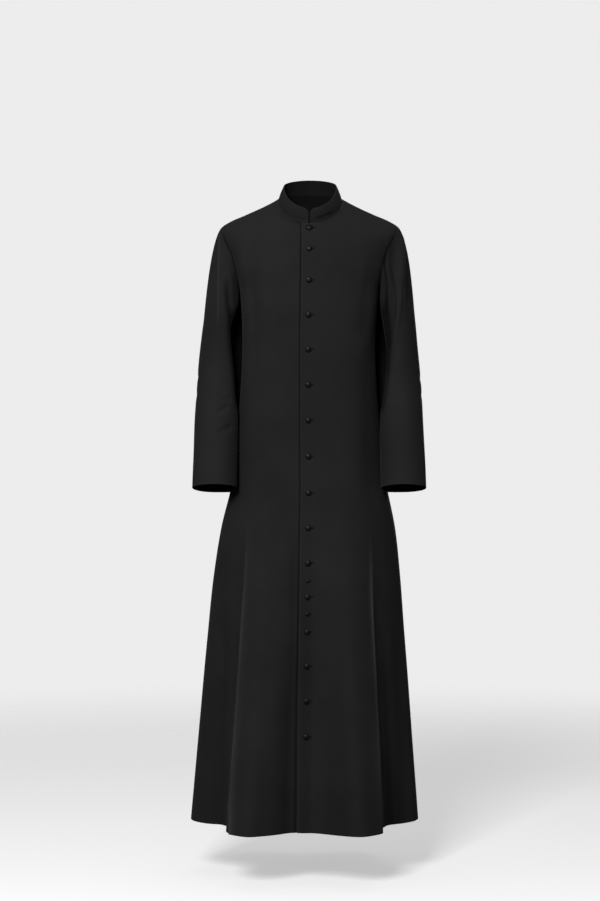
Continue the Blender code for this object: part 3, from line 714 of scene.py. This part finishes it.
def stand_off(grid, side):
    """Holds the front of a sleeve's inner side against a soft wall that stands off the trunk by the hollow's table,
    and lets its back lie a little into the trunk's face. The wall leans and fades in away from the armhole.
    Returns the grid and the painted shade at each point, from 0 to 1, darkest where the sleeve's side lies on the wall
    of a wide hollow."""
    arm = dict(zip(SLEEVE_COLUMNS, np.array(list(SLEEVE.values())).T))
    table = dict(zip(HOLLOW_COLUMNS, np.array(HOLLOW).T))
    across, depth, height = grid[..., 0], grid[..., 1], grid[..., 2]
    from_middle = depth - np.interp(-height, -arm["z"], arm["y"])
    gap = smooth(-table["z"], table["left_mm" if side > 0 else "right_mm"] * MM, np.clip(-height, 0.14, 0.68))
    middle_x = np.interp(-height, -arm["z"], arm["x"])
    ahead = -0.01 - 0.10 * fade(height, -0.43, -0.56)
    leans = 1 + 0.3 * fade(from_middle, -0.030, 0.020)
    wall = body_side(np.maximum(depth, ahead), height) + gap * leans * fade(from_middle, 0.051, 0.029)
    near_wall = softly_above(across, wall, HOLLOW_SOFTNESS)
    from_seam = np.linalg.norm(grid - grid[:1], axis=-1)
    takes_hold = fade(from_seam, 0, 0.040) * fade(height, -0.150, -0.195)
    moved = near_wall * takes_hold + across * (1 - takes_hold)
    behind = np.exp(-(((from_middle - 0.056) / 0.012) ** 2)) * fade(across, middle_x + 0.008, middle_x - 0.018)
    behind = behind * fade(from_seam, 0, 0.020) * fade(height, -0.120, -0.200)
    moved += (body_side(depth, height) - 1.0 * MM - moved) * behind
    clear = np.clip(moved - wall, 0, None)
    # Painted shade in the hollow: darkest on the wall, fading over a reach that is wider on the +X sleeve.
    reach = (6 + (6 if side > 0 else 2) * fade(height, -0.42, -0.32)) * MM
    deep = np.exp(-((clear / reach) ** 2)) * fade(gap, 0, HOLLOW_WHOLE_GAP) * fade(from_middle, 0.070, 0.058)
    return np.stack([moved, depth, height], axis=-1), deep * takes_hold


def sleeve_grid(side, creases, seed):
    """A sleeve: a cap that leaves the armhole and turns down as a cubic with set end directions, then the arm's
    rings, with its creases and slight gathers at the cap along the normal. side is 1 for +X."""
    edge = armhole_loop(HALF_SLEEVE_COLUMNS, ARMHOLE_FRONT_DEG[side])
    turn = np.linspace(0, 2 * math.pi, 2 * HALF_SLEEVE_COLUMNS, endpoint=False)
    rings = sleeve_rings(turn[None, :], SLEEVE_ARM_ROWS)
    top = ((1 + np.cos(turn)) / 2)[:, None]
    leaves = top * CAP_LEAVES_TOP + (1 - top) * CAP_LEAVES_UNDERARM
    leaves[:, 1] -= CAP_LEAVES_SIDEWAYS * np.sin(turn)
    leaves = unit(leaves)
    start = edge + ARMHOLE_GAP * leaves
    reach = np.linalg.norm(rings[0] - start, axis=1, keepdims=True)
    arrives = unit(rings[1] - rings[0])
    t = (np.linspace(0, 1, SLEEVE_CAP_ROWS, endpoint=False) ** CAP_CROWDING)[:, None, None]
    from_edge = start * (1 + 2 * t) * (1 - t) ** 2 + leaves * reach * CAP_FULLNESS * t * (1 - t) ** 2
    to_ring = rings[0] * t * t * (3 - 2 * t) - arrives * reach * t * t * (1 - t)
    cap = from_edge + to_ring
    held_off = softly_above(cap[..., 0], body_side(cap[..., 1], cap[..., 2]) + SLEEVE_CLEARANCE, SLEEVE_SOFTNESS)
    top_ring = rings[0, :, 2].max()
    below = fade(cap[..., 2], top_ring + 0.056, top_ring + 0.046)
    cap[..., 0] += (held_off - cap[..., 0]) * below
    grid, hollow = stand_off(np.concatenate([cap, rings]), side)
    grid = (grid * [side, 1, 1])[::-1, ::-side]
    hollow = hollow[::-1, ::-side]
    normal = grid_normals(grid, tube=True)
    outside = fade(np.abs(grid[..., 0]), 0.165, 0.185)
    calm = fade(np.arange(len(grid))[::-1], 0, 12)[:, None]
    uneven = waviness(grid, seed, 0.10, 1.5 * MM) * outside
    height, painted_shading = crease_height(grid, normal, creases)
    height = (np.where(height > 0, height * outside, height) + uneven) * calm
    points = shoulder_shift(grid + normal * height[..., None])
    from_seam = np.linalg.norm(grid - grid[-1:], axis=-1)
    # Painted shade along the armhole seam below the shoulder, added to the hollow's painted shade. Both darken the
    # cloth through HOLLOW_SHADE.
    hollow = hollow + SEAM_SHADE * np.exp(-((from_seam / SEAM_SHADE_REACH) ** 2)) * fade(grid[..., 2], -0.060, -0.105)
    return np.concatenate([points, (painted_shading - HOLLOW_SHADE * np.clip(hollow, 0, 1))[..., None]], axis=-1)


def collar_grid():
    """The standing band: straight lines from the neck ring to its own top ring, cut lower round the two front
    corners as a quarter ellipse."""
    neck = dict(zip(RING_COLUMNS, RINGS["neck"]))
    end = math.degrees(COLLAR_SLOT / 2 / neck["half_width"])
    corner = end + (COLLAR_CORNER_DEG - end) * (1 - np.cos(np.linspace(0, math.pi / 2, 14, endpoint=False)))
    half = np.concatenate([corner, np.linspace(COLLAR_CORNER_DEG, 180, 84)])
    angles = np.radians(np.concatenate([half, 360 - half[-2::-1]]))
    from_end = np.degrees(math.pi - np.abs(angles - math.pi))
    rounding = np.clip((COLLAR_CORNER_DEG - from_end) / (COLLAR_CORNER_DEG - end), 0, 1)
    height = COLLAR_CORNER_HEIGHT + (1 - COLLAR_CORNER_HEIGHT) * np.sqrt(1 - rounding**2)
    angles = angles + BUTTON_LINE[0] / neck["half_width"]
    base = ring_point(angles, neck) + [0, 0, COLLAR_GAP]
    top = ring_point(angles, COLLAR_TOP)
    share = np.linspace(0, 1, 22)[:, None] * height
    grid = base + (top - base) * share[..., None]
    normal = grid_normals(grid)
    swell = np.sin(np.clip(share, 0, 1) * math.pi) * COLLAR_SWELL
    uneven = waviness(grid, 9, 0.07, 0.5 * MM) * eased(share * 3)
    height, painted_shading = crease_height(grid, normal, COLLAR_CREASES)
    points = shoulder_shift(grid + normal * (swell + uneven + height)[..., None])
    return np.concatenate([points, painted_shading[..., None]], axis=-1)


def button_line(height):
    """How far the buttons stand from the panels' middle at a height: one place above the hips, another below."""
    high, low = BUTTON_LINE
    start, end = BUTTON_LINE_TURNS
    return high + (low - high) * fade(height, start, end)


def placket_point(across, height, lift):
    """A point on the left front's face this far sideways from the centre line, at this height on it, lifted off
    the cloth. Returns the points and their normals."""
    stations = np.linspace(0, STATIONS["neck"], 2000)
    line = body_point(np.zeros_like(stations), stations)
    station = np.interp(height, line[:, 2], stations)
    angle = past_centre(station, across)
    normal = body_normal(angle, station)
    return shoulder_shift(body_point(angle, station) + normal * np.asarray(lift)[..., None]), normal


# ---------------------------------------------------------------------------------------------------------------
# Finishes
# ---------------------------------------------------------------------------------------------------------------


class Nodes:
    """Adds nodes to a material, left to right. Sockets are given by name or number: a plain value is set on its
    socket, and another node's output is joined to it."""

    def __init__(self, name):
        self.made = bpy.data.materials.new(name)
        self.made.use_nodes = True
        self.tree = self.made.node_tree
        self.shader = self.tree.nodes["Principled BSDF"]
        self.place = -1400

    def settle(self, node, sockets):
        for socket, value in sockets.items():
            if isinstance(value, bpy.types.NodeSocket):
                self.tree.links.new(value, node.inputs[socket])
            else:
                node.inputs[socket].default_value = value

    def add(self, kind, sockets=None, **values):
        node = self.tree.nodes.new(kind)
        node.location = (self.place, -300)
        self.place += 60
        for key, value in values.items():
            setattr(node, key, value)
        self.settle(node, sockets or {})
        return node

    def point(self):
        return self.add("ShaderNodeTexCoord").outputs["Object"]

    def mark(self, name):
        return self.add("ShaderNodeAttribute", attribute_name=name).outputs["Fac"]

    def noise(self, point, sockets):
        return self.add("ShaderNodeTexNoise", {"Vector": point, **sockets}).outputs["Fac"]

    def maths(self, operation, first, second):
        return self.add("ShaderNodeMath", {0: first, 1: second}, operation=operation).outputs[0]

    def remap(self, value, start, end, low, high, kind="LINEAR"):
        """The value's span from start to end, made to run from low to high."""
        sockets = {"Value": value, "From Min": start, "From Max": end, "To Min": low, "To Max": high}
        return self.add("ShaderNodeMapRange", sockets, interpolation_type=kind).outputs["Result"]

    def mix(self, share, first, second, blend="MIX"):
        sockets = {0: share, 6: first, 7: second}
        return self.add("ShaderNodeMix", sockets, data_type="RGBA", blend_type=blend).outputs[2]

    def bump(self, height, strength, distance):
        sockets = {"Height": height, "Strength": strength, "Distance": distance}
        return self.add("ShaderNodeBump", sockets).outputs["Normal"]

    def finish(self, sockets):
        """Sets the surface itself, which isn't metal, and gives back the material."""
        self.settle(self.shader, {"Metallic": 0.0, **sockets})
        return self.made


def shaded(colour, share):
    """A colour made darker or paler by a share, with its alpha."""
    return (*[share * value for value in colour], 1.0)


def wool_twill(colours):
    """Fine wool twill: diagonal lines on the UV map, fuzz and slubs from noise, broad uneven colour, paler worn
    edges, and the painted shading its attribute carries: painted highlights along ridges, and painted shade in
    troughs, in the hollows, along the armhole seams and on the inner faces."""
    nodes = Nodes("wool_twill")
    point = nodes.point()
    uv = nodes.add("ShaderNodeUVMap", uv_map="cloth").outputs["UV"]
    turned = nodes.add("ShaderNodeMapping", {"Vector": uv, "Rotation": (0, 0, math.radians(63))}).outputs["Vector"]
    lines = {"Vector": turned, "Scale": 2 * math.pi / 20 / colours.twill_pitch}
    lines.update({"Distortion": 0.6, "Detail": 1.0, "Detail Scale": 3.0})
    twill = nodes.add("ShaderNodeTexWave", lines, wave_type="BANDS", bands_direction="X", wave_profile="SIN")
    twill = twill.outputs["Fac"]
    fuzz = nodes.noise(point, {"Scale": 900.0, "Detail": 3.0})
    broad = nodes.noise(point, {"Scale": 7.0, "Detail": 4.0, "Roughness": 0.6})
    relief = nodes.maths("ADD", nodes.maths("MULTIPLY", twill, 0.6), nodes.maths("MULTIPLY", fuzz, 0.5))
    uneven = nodes.remap(broad, 0.3, 0.7, 0.82, 1.18)
    tone = nodes.maths("MULTIPLY", uneven, nodes.maths("ADD", nodes.maths("MULTIPLY", twill, 0.22), 0.89))
    worn = nodes.remap(nodes.mark("edge"), 0.0, 0.003, 1.0 + colours.edge_wear, 1.0, "SMOOTHSTEP")
    tone = nodes.maths("MULTIPLY", tone, worn)
    # Painted shading: the attribute's painted highlights and painted shade, scaled by the setting and multiplied into
    # the cloth's colour.
    painted_shading = nodes.maths("MULTIPLY", nodes.mark("painted_shading"), colours.painted_shading_strength)
    tone = nodes.maths("MULTIPLY", tone, nodes.maths("ADD", painted_shading, 1.0))
    grey = nodes.add("ShaderNodeCombineColor", {0: tone, 1: tone, 2: tone}).outputs["Color"]
    return nodes.finish({
        "Base Color": nodes.mix(1.0, shaded(colours.cloth, 1.0), grey, "MULTIPLY"),
        "Normal": nodes.bump(relief, 0.55, 0.00022),
        "Roughness": nodes.remap(fuzz, 0.0, 1.0, 0.84, 0.98),
        "Specular IOR Level": 0.2,
        "Sheen Weight": colours.sheen,
        "Sheen Roughness": 0.45,
        "Sheen Tint": (0.80, 0.82, 0.90, 1.0),
    })


def covered_button_cloth(colours):
    """The buttons' covering: the same black, drawn tight, so finer and a little glossier than the cloth."""
    nodes = Nodes("button_cloth")
    weave = nodes.noise(nodes.point(), {"Scale": 1400.0, "Detail": 2.0})
    return nodes.finish({
        "Base Color": nodes.mix(weave, shaded(colours.button, 0.75), shaded(colours.button, 1.25)),
        "Normal": nodes.bump(weave, 0.35, 0.00015),
        "Roughness": 0.39,
        "Specular IOR Level": 0.13,
        "Sheen Weight": colours.sheen,
        "Sheen Roughness": 0.5,
    })


def silk_thread(colours):
    """Buttonhole thread: tight and slightly lustrous, with its turns in the mesh."""
    nodes = Nodes("buttonhole_thread")
    twist = nodes.noise(nodes.point(), {"Scale": 2200.0})
    return nodes.finish({
        "Base Color": nodes.mix(twist, shaded(colours.thread, 0.7), shaded(colours.thread, 1.3)),
        "Roughness": 0.8,
        "Specular IOR Level": 0.1,
    })


def studio_floor(colour):
    """A matt pale floor that fades out towards its rim, so that it has no far edge."""
    nodes = Nodes("studio_floor")
    point = nodes.point()
    out = nodes.add("ShaderNodeVectorMath", {0: point}, operation="LENGTH").outputs["Value"]
    grain = nodes.noise(point, {"Scale": 1.5})
    return nodes.finish({
        "Alpha": nodes.remap(out, 2.2, 4.8, 1.0, 0.0, "SMOOTHSTEP"),
        "Base Color": nodes.mix(grain, shaded(colour, 0.985), shaded(colour, 1.0)),
        "Roughness": 0.9,
        "Specular IOR Level": 0.1,
        "Emission Color": shaded(colour, 1.0),
        "Emission Strength": 0.62,
    })


# ---------------------------------------------------------------------------------------------------------------
# Settings
# ---------------------------------------------------------------------------------------------------------------


def length_setting(name, description, default, low, high):
    return bpy.props.FloatProperty(
        name=name, description=description, default=default, min=low, max=high, unit="LENGTH", precision=4
    )


def colour_setting(name, description, default):
    return bpy.props.FloatVectorProperty(
        name=name, description=description, default=default, min=0.0, max=1.0, size=3, subtype="COLOR"
    )


def share_setting(name, description, default, low, high):
    return bpy.props.FloatProperty(name=name, description=description, default=default, min=low, max=high)


def power_setting(name, description, default):
    return bpy.props.FloatProperty(
        name=name, description=description, default=default, min=0.0, max=2000.0, subtype="POWER"
    )


class CassockSizes(bpy.types.PropertyGroup):
    cloth_wall: length_setting("Cloth", "Thickness of the cloth", 1.6 * MM, 0.5 * MM, 4 * MM)
    collar_wall: length_setting("Collar", "Thickness of the collar", 2.2 * MM, 1 * MM, 6 * MM)
    overlap: length_setting("Overlap", "How far the left front laps past the buttons", 17.3 * MM, 10 * MM, 40 * MM)
    underlap: length_setting("Underlap", "How far the right front runs under the left", 16 * MM, 5 * MM, 40 * MM)
    underlap_gap: length_setting("Underlap gap", "Room between the two fronts", 1.1 * MM, 0.3 * MM, 4 * MM)
    button_height: share_setting("Button height", "Height of a button as a share of its diameter", 0.40, 0.1, 0.8)
    buttonhole: length_setting("Buttonhole", "Length of a buttonhole", 17 * MM, 8 * MM, 30 * MM)


class CassockColours(bpy.types.PropertyGroup):
    cloth: colour_setting("Cloth", "Colour of the wool", (0.0136, 0.0135, 0.0144))
    button: colour_setting("Buttons", "Colour of the button coverings", (0.0072, 0.0072, 0.0078))
    thread: colour_setting("Thread", "Colour of the buttonhole thread", (0.0040, 0.0040, 0.0045))
    sheen: share_setting("Sheen", "How much the nap catches light along its edges", 0.02, 0.0, 1.0)
    edge_wear: share_setting("Edge wear", "How much paler the cloth is along its edges", 0.35, 0.0, 2.0)
    # Strength of the painted shading: the painted highlights and painted shade that the crease tones, hollows, seams
    # and inner faces carry.
    painted_shading_strength: share_setting("Pressed folds", "How much paler the cloth is along its pressed folds", 0.9, 0.0, 3.0)
    twill_pitch: length_setting("Twill pitch", "Distance between the twill's lines", 1.0 * MM, 0.3 * MM, 4 * MM)


class CassockStudio(bpy.types.PropertyGroup):
    floor: colour_setting("Floor", "Colour of the floor", (0.80, 0.795, 0.795))
    backdrop: colour_setting("Backdrop", "Colour behind the garment", (0.845, 0.845, 0.845))
    floor_height: length_setting("Floor height", "Height of the floor", -1.54, -3.0, 0.0)
    ambient: share_setting("Ambient", "Strength of the light from all round", 0.07, 0.0, 3.0)
    key: power_setting("Key light", "Power of the main light", 172.0)
    fill: power_setting("Fill light", "Power of the weaker light", 2.0)
    side: power_setting("Side light", "Power of the light from the wearer's right", 6.5)
    back: power_setting("Back light", "Power of the light from behind", 110.0)
    overhead: power_setting("Overhead light", "Power of the light above", 22.0)


# ---------------------------------------------------------------------------------------------------------------
# The steps
# ---------------------------------------------------------------------------------------------------------------


def add_cloth(node, grid, wall, colours, tube=False):
    """Makes a cloth piece in its node's place, hangs it on the body and hides the part it stands for."""
    material = bpy.data.materials.get("wool_twill") or wool_twill(colours)
    piece, area = cloth_shell(node + "_cloth", grid, wall, material, tube)
    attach(piece, BODY)
    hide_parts(node)


class CASSOCK_OT_fronts(bpy.types.Operator):
    """Makes the two front panels, the left one lapping over the right"""

    bl_idname = "cassock.fronts"
    bl_label = "Fronts"

    def execute(self, context):
        sizes, colours = context.scene.cassock_sizes, context.scene.cassock_colours
        drop = sizes.cloth_wall + sizes.underlap_gap
        left = front_grid(1, sizes.overlap, 0.0, FRONT_LEFT_CREASES)
        right = front_grid(-1, sizes.underlap, drop, FRONT_RIGHT_CREASES)
        for name, grid in (("front_left", left), ("front_right", right)):
            add_cloth(name, grid, sizes.cloth_wall, colours)
        return {"FINISHED"}


class CASSOCK_OT_back(bpy.types.Operator):
    """Makes the back panel"""

    bl_idname = "cassock.back"
    bl_label = "Back"

    def execute(self, context):
        sizes, colours = context.scene.cassock_sizes, context.scene.cassock_colours
        add_cloth("back", back_grid(BACK_CREASES), sizes.cloth_wall, colours)
        return {"FINISHED"}


class CASSOCK_OT_sleeves(bpy.types.Operator):
    """Makes the two set-in sleeves"""

    bl_idname = "cassock.sleeves"
    bl_label = "Sleeves"

    def execute(self, context):
        sizes, colours = context.scene.cassock_sizes, context.scene.cassock_colours
        for name, side, creases, seed in (
            ("sleeve_left", 1, SLEEVE_LEFT_CREASES, 7),
            ("sleeve_right", -1, SLEEVE_RIGHT_CREASES, 8),
        ):
            grid = sleeve_grid(side, creases, seed)
            add_cloth(name, grid, sizes.cloth_wall, colours, tube=True)
        return {"FINISHED"}


class CASSOCK_OT_collar(bpy.types.Operator):
    """Makes the standing collar"""

    bl_idname = "cassock.collar"
    bl_label = "Collar"

    def execute(self, context):
        sizes, colours = context.scene.cassock_sizes, context.scene.cassock_colours
        add_cloth("collar", collar_grid(), sizes.collar_wall, colours)
        return {"FINISHED"}


class CASSOCK_OT_buttons(bpy.types.Operator):
    """Makes the covered buttons"""

    bl_idname = "cassock.buttons"
    bl_label = "Buttons"

    def execute(self, context):
        sizes, colours = context.scene.cassock_sizes, context.scene.cassock_colours
        material = covered_button_cloth(colours)
        for number, row in enumerate(BUTTONS, start=1):
            button = dict(zip(BUTTON_COLUMNS, row))
            name = f"button_{number:02d}"
            piece = covered_button(name + "_cover", button["height"], button["diameter_mm"] * MM, sizes, material)
            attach(piece, BODY)
            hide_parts(name)
        return {"FINISHED"}


def covered_button(name, height, diameter, sizes, material):
    """A dome turned about the placket's normal. Its outline goes from the middle of its flat back round a tucked-in
    rim and over the top, and its rim has shallow gathers that fade out up the dome."""
    across, up_steps = 48, 26
    t = np.linspace(0, 1, up_steps)
    knots = np.array([0.0, 0.12, 0.22, 0.34, 0.50, 0.72, 0.88, 1.0])
    radius = smooth(knots, [0.0, 0.70, 0.93, 1.0, 0.93, 0.62, 0.30, 0.0], t)
    rise = smooth(knots, [0.0, 0.0, 0.10, 0.30, 0.60, 0.90, 0.985, 1.0], t)
    turn = np.linspace(0, 2 * math.pi, across, endpoint=False)
    gather = 1 + 0.012 * np.cos(turn * BUTTON_GATHERS)[None, :] * np.exp(-(((t - 0.3) / 0.12) ** 2))[:, None]
    seat, normal = placket_point(np.array(button_line(height)), np.array(height), np.array(BUTTON_LIFT))
    normal = unit(normal * [1.0, 1.0, 0.45])
    sideways = unit(np.array([1.0, 0.0, 0.0]) - normal * normal[0])
    upward = np.cross(normal, sideways)
    spokes = sideways * np.cos(turn)[:, None] + upward * np.sin(turn)[:, None]
    grid = seat + spokes[None] * (radius[:, None] * gather * diameter / 2)[..., None]
    grid = grid + normal * (rise * sizes.button_height * diameter)[:, None, None]
    count = up_steps * across
    number = np.arange(count).reshape(up_steps, across)
    number[0] = 0
    number[-1] = (up_steps - 1) * across
    number = np.column_stack([number, number[:, 0]])
    faces = corners(number).reshape(-1, 4)
    return add_mesh(name, grid.reshape(-1, 3), faces, material)


class CASSOCK_OT_buttonholes(bpy.types.Operator):
    """Makes the thread round the buttonholes"""

    bl_idname = "cassock.buttonholes"
    bl_label = "Buttonholes"

    def execute(self, context):
        sizes, colours = context.scene.cassock_sizes, context.scene.cassock_colours
        grids = [buttonhole(height, sizes.buttonhole * diameter / 14.0) for height, diameter in BUTTONS]
        points = np.concatenate([grid.reshape(-1, 3) for grid in grids])
        around, across = grids[0].shape[:2]
        number = np.arange(around * across).reshape(around, across)
        number = np.vstack([number, number[:1]])
        number = np.column_stack([number, number[:, 0]])
        faces = corners(number).reshape(-1, 4)
        starts = np.arange(len(grids))[:, None, None] * around * across
        faces = (faces[None] + starts).reshape(-1, 4)
        piece = add_mesh("buttonholes", points, faces, silk_thread(colours))
        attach(piece, BODY)
        return {"FINISHED"}


def buttonhole(height, length):
    """A cord of thread round a slit: a stadium-shaped ring, whose section is a low half ellipse that swells and
    narrows once for each stitch. It starts under the button and runs towards the wearer's left."""
    around, across = 120, 8
    width = 1.3 * MM
    run = np.linspace(0, 1, around, endpoint=False)
    straight = length - 2 * width
    whole = 2 * straight + 2 * math.pi * width
    s = run * whole
    first = np.clip(s, 0, straight)
    bend = np.clip(s - straight, 0, math.pi * width) / width
    back = np.clip(s - straight - math.pi * width, 0, straight)
    bend_two = np.clip(s - 2 * straight - math.pi * width, 0, math.pi * width) / width
    turn = bend + bend_two
    left = button_line(height) - 0.25 * length + width
    x = left + first - back + width * np.sin(turn)
    z = -width * np.cos(turn)
    out_x, out_z = np.sin(turn), -np.cos(turn)
    stitch = 1 + 0.12 * np.cos(run * 2 * math.pi * round(whole / (0.75 * MM)))
    section = np.linspace(0, 2 * math.pi, across, endpoint=False)
    wide = 0.62 * MM * np.cos(section)[None, :] * stitch[:, None]
    lift = 0.12 * MM + 0.42 * MM * np.sin(section)[None, :] * stitch[:, None]
    points, _ = placket_point(x[:, None] + out_x[:, None] * wide, height + z[:, None] + out_z[:, None] * wide, lift)
    return points


def area_light(name, place, aim, size, power):
    """A square light at a place, turned to face its aim."""
    light = bpy.data.lights.new(name, "AREA")
    light.shape = "SQUARE"
    light.size = size
    light.energy = power
    lamp = bpy.data.objects.new(name, light)
    lamp.location = place
    way = np.array(aim, float) - np.array(place, float)
    pitch = math.atan2(math.hypot(way[0], way[1]), -way[2])
    lamp.rotation_euler = (pitch, 0, math.atan2(-way[0], way[1]))
    bpy.context.scene.collection.objects.link(lamp)
    return lamp


class CASSOCK_OT_stage(bpy.types.Operator):
    """Makes the floor, the lights and the camera"""

    bl_idname = "cassock.stage"
    bl_label = "Stage"

    def execute(self, context):
        studio = context.scene.cassock_studio
        count = 24
        across, along = np.meshgrid(np.linspace(-5, 5, count), np.linspace(-5, 5, count))
        plane = np.stack([across, along, np.full_like(across, studio.floor_height)], axis=-1)
        number = np.arange(count * count).reshape(count, count)
        faces = corners(number).reshape(-1, 4)
        floor = add_mesh("floor", plane.reshape(-1, 3), faces, studio_floor(studio.floor))
        floor.visible_diffuse = floor.visible_glossy = False
        self.light(context, studio, floor)
        self.camera(context)
        return {"FINISHED"}

    def light(self, context, studio, floor):
        world = context.scene.world or bpy.data.worlds.new("studio")
        context.scene.world = world
        world.use_nodes = True
        tree = world.node_tree
        tree.nodes.clear()
        out = tree.nodes.new("ShaderNodeOutputWorld")
        seen, lit = tree.nodes.new("ShaderNodeBackground"), tree.nodes.new("ShaderNodeBackground")
        seen.inputs["Color"].default_value = (*studio.backdrop, 1.0)
        lit.inputs["Color"].default_value = (1.0, 1.0, 1.0, 1.0)
        lit.inputs["Strength"].default_value = studio.ambient
        path, mix = tree.nodes.new("ShaderNodeLightPath"), tree.nodes.new("ShaderNodeMixShader")
        tree.links.new(path.outputs["Is Camera Ray"], mix.inputs[0])
        tree.links.new(lit.outputs[0], mix.inputs[1])
        tree.links.new(seen.outputs[0], mix.inputs[2])
        tree.links.new(mix.outputs[0], out.inputs[0])
        area_light("key", (-0.95, -4.05, 1.3), (0, 0, -0.5), 1.2, studio.key)
        area_light("fill", (3.4, -2.2, 0.4), (0, 0, -0.4), 2.0, studio.fill)
        area_light("side", (-3.6, -2.0, 0.3), (0, 0, -0.5), 1.6, studio.side)
        back = area_light("back", (0.9, 4.2, 0.9), (0, 0, -0.6), 1.6, studio.back)
        unlit = bpy.data.collections.new("not_lit_from_behind")
        unlit.objects.link(floor)
        back.light_linking.receiver_collection = unlit
        unlit.collection_objects[0].light_linking.link_state = "EXCLUDE"
        area_light("overhead", (0.0, 0.6, 3.4), (0, 0, -1.5), 3.5, studio.overhead)
        context.scene.view_settings.view_transform = "Standard"

    def camera(self, context):
        lens = bpy.data.cameras.new("camera")
        lens.lens = LENS_MM
        lens.sensor_width = SENSOR_MM
        lens.shift_x = SHIFT_PX / PICTURE_PX
        lens.clip_start = 0.1
        lens.clip_end = 50.0
        camera = bpy.data.objects.new("camera", lens)
        camera.location = CAMERA_PLACE
        camera.rotation_euler = (math.pi / 2, 0.0, 0.0)
        context.scene.collection.objects.link(camera)
        context.scene.camera = camera


class CASSOCK_PT_sidebar(bpy.types.Panel):
    """Lists the cassock's pieces and settings"""

    bl_idname = "CASSOCK_PT_sidebar"
    bl_label = "Cassock"
    bl_space_type = "VIEW_3D"
    bl_region_type = "UI"
    bl_category = "Cassock"

    def draw(self, context):
        scene = context.scene
        for group in (scene.cassock_sizes, scene.cassock_colours, scene.cassock_studio):
            box = self.layout.box()
            for name in group.__annotations__:
                box.prop(group, name)
        for step in STEPS:
            self.layout.operator(step.bl_idname)


GROUPS = {
    "cassock_sizes": CassockSizes,
    "cassock_colours": CassockColours,
    "cassock_studio": CassockStudio,
}
STEPS = (
    CASSOCK_OT_stage,
    CASSOCK_OT_fronts,
    CASSOCK_OT_back,
    CASSOCK_OT_sleeves,
    CASSOCK_OT_collar,
    CASSOCK_OT_buttons,
    CASSOCK_OT_buttonholes,
)


def register():
    for kind in (*GROUPS.values(), *STEPS, CASSOCK_PT_sidebar):
        bpy.utils.register_class(kind)
    for name, group in GROUPS.items():
        setattr(bpy.types.Scene, name, bpy.props.PointerProperty(type=group))


def unregister():
    for name in GROUPS:
        delattr(bpy.types.Scene, name)
    for kind in (CASSOCK_PT_sidebar, *reversed(STEPS), *reversed(list(GROUPS.values()))):
        bpy.utils.unregister_class(kind)


def main():
    register()
    for step in STEPS:
        group, name = step.bl_idname.split(".")
        getattr(getattr(bpy.ops, group), name)()


if __name__ == "__main__":
    main()
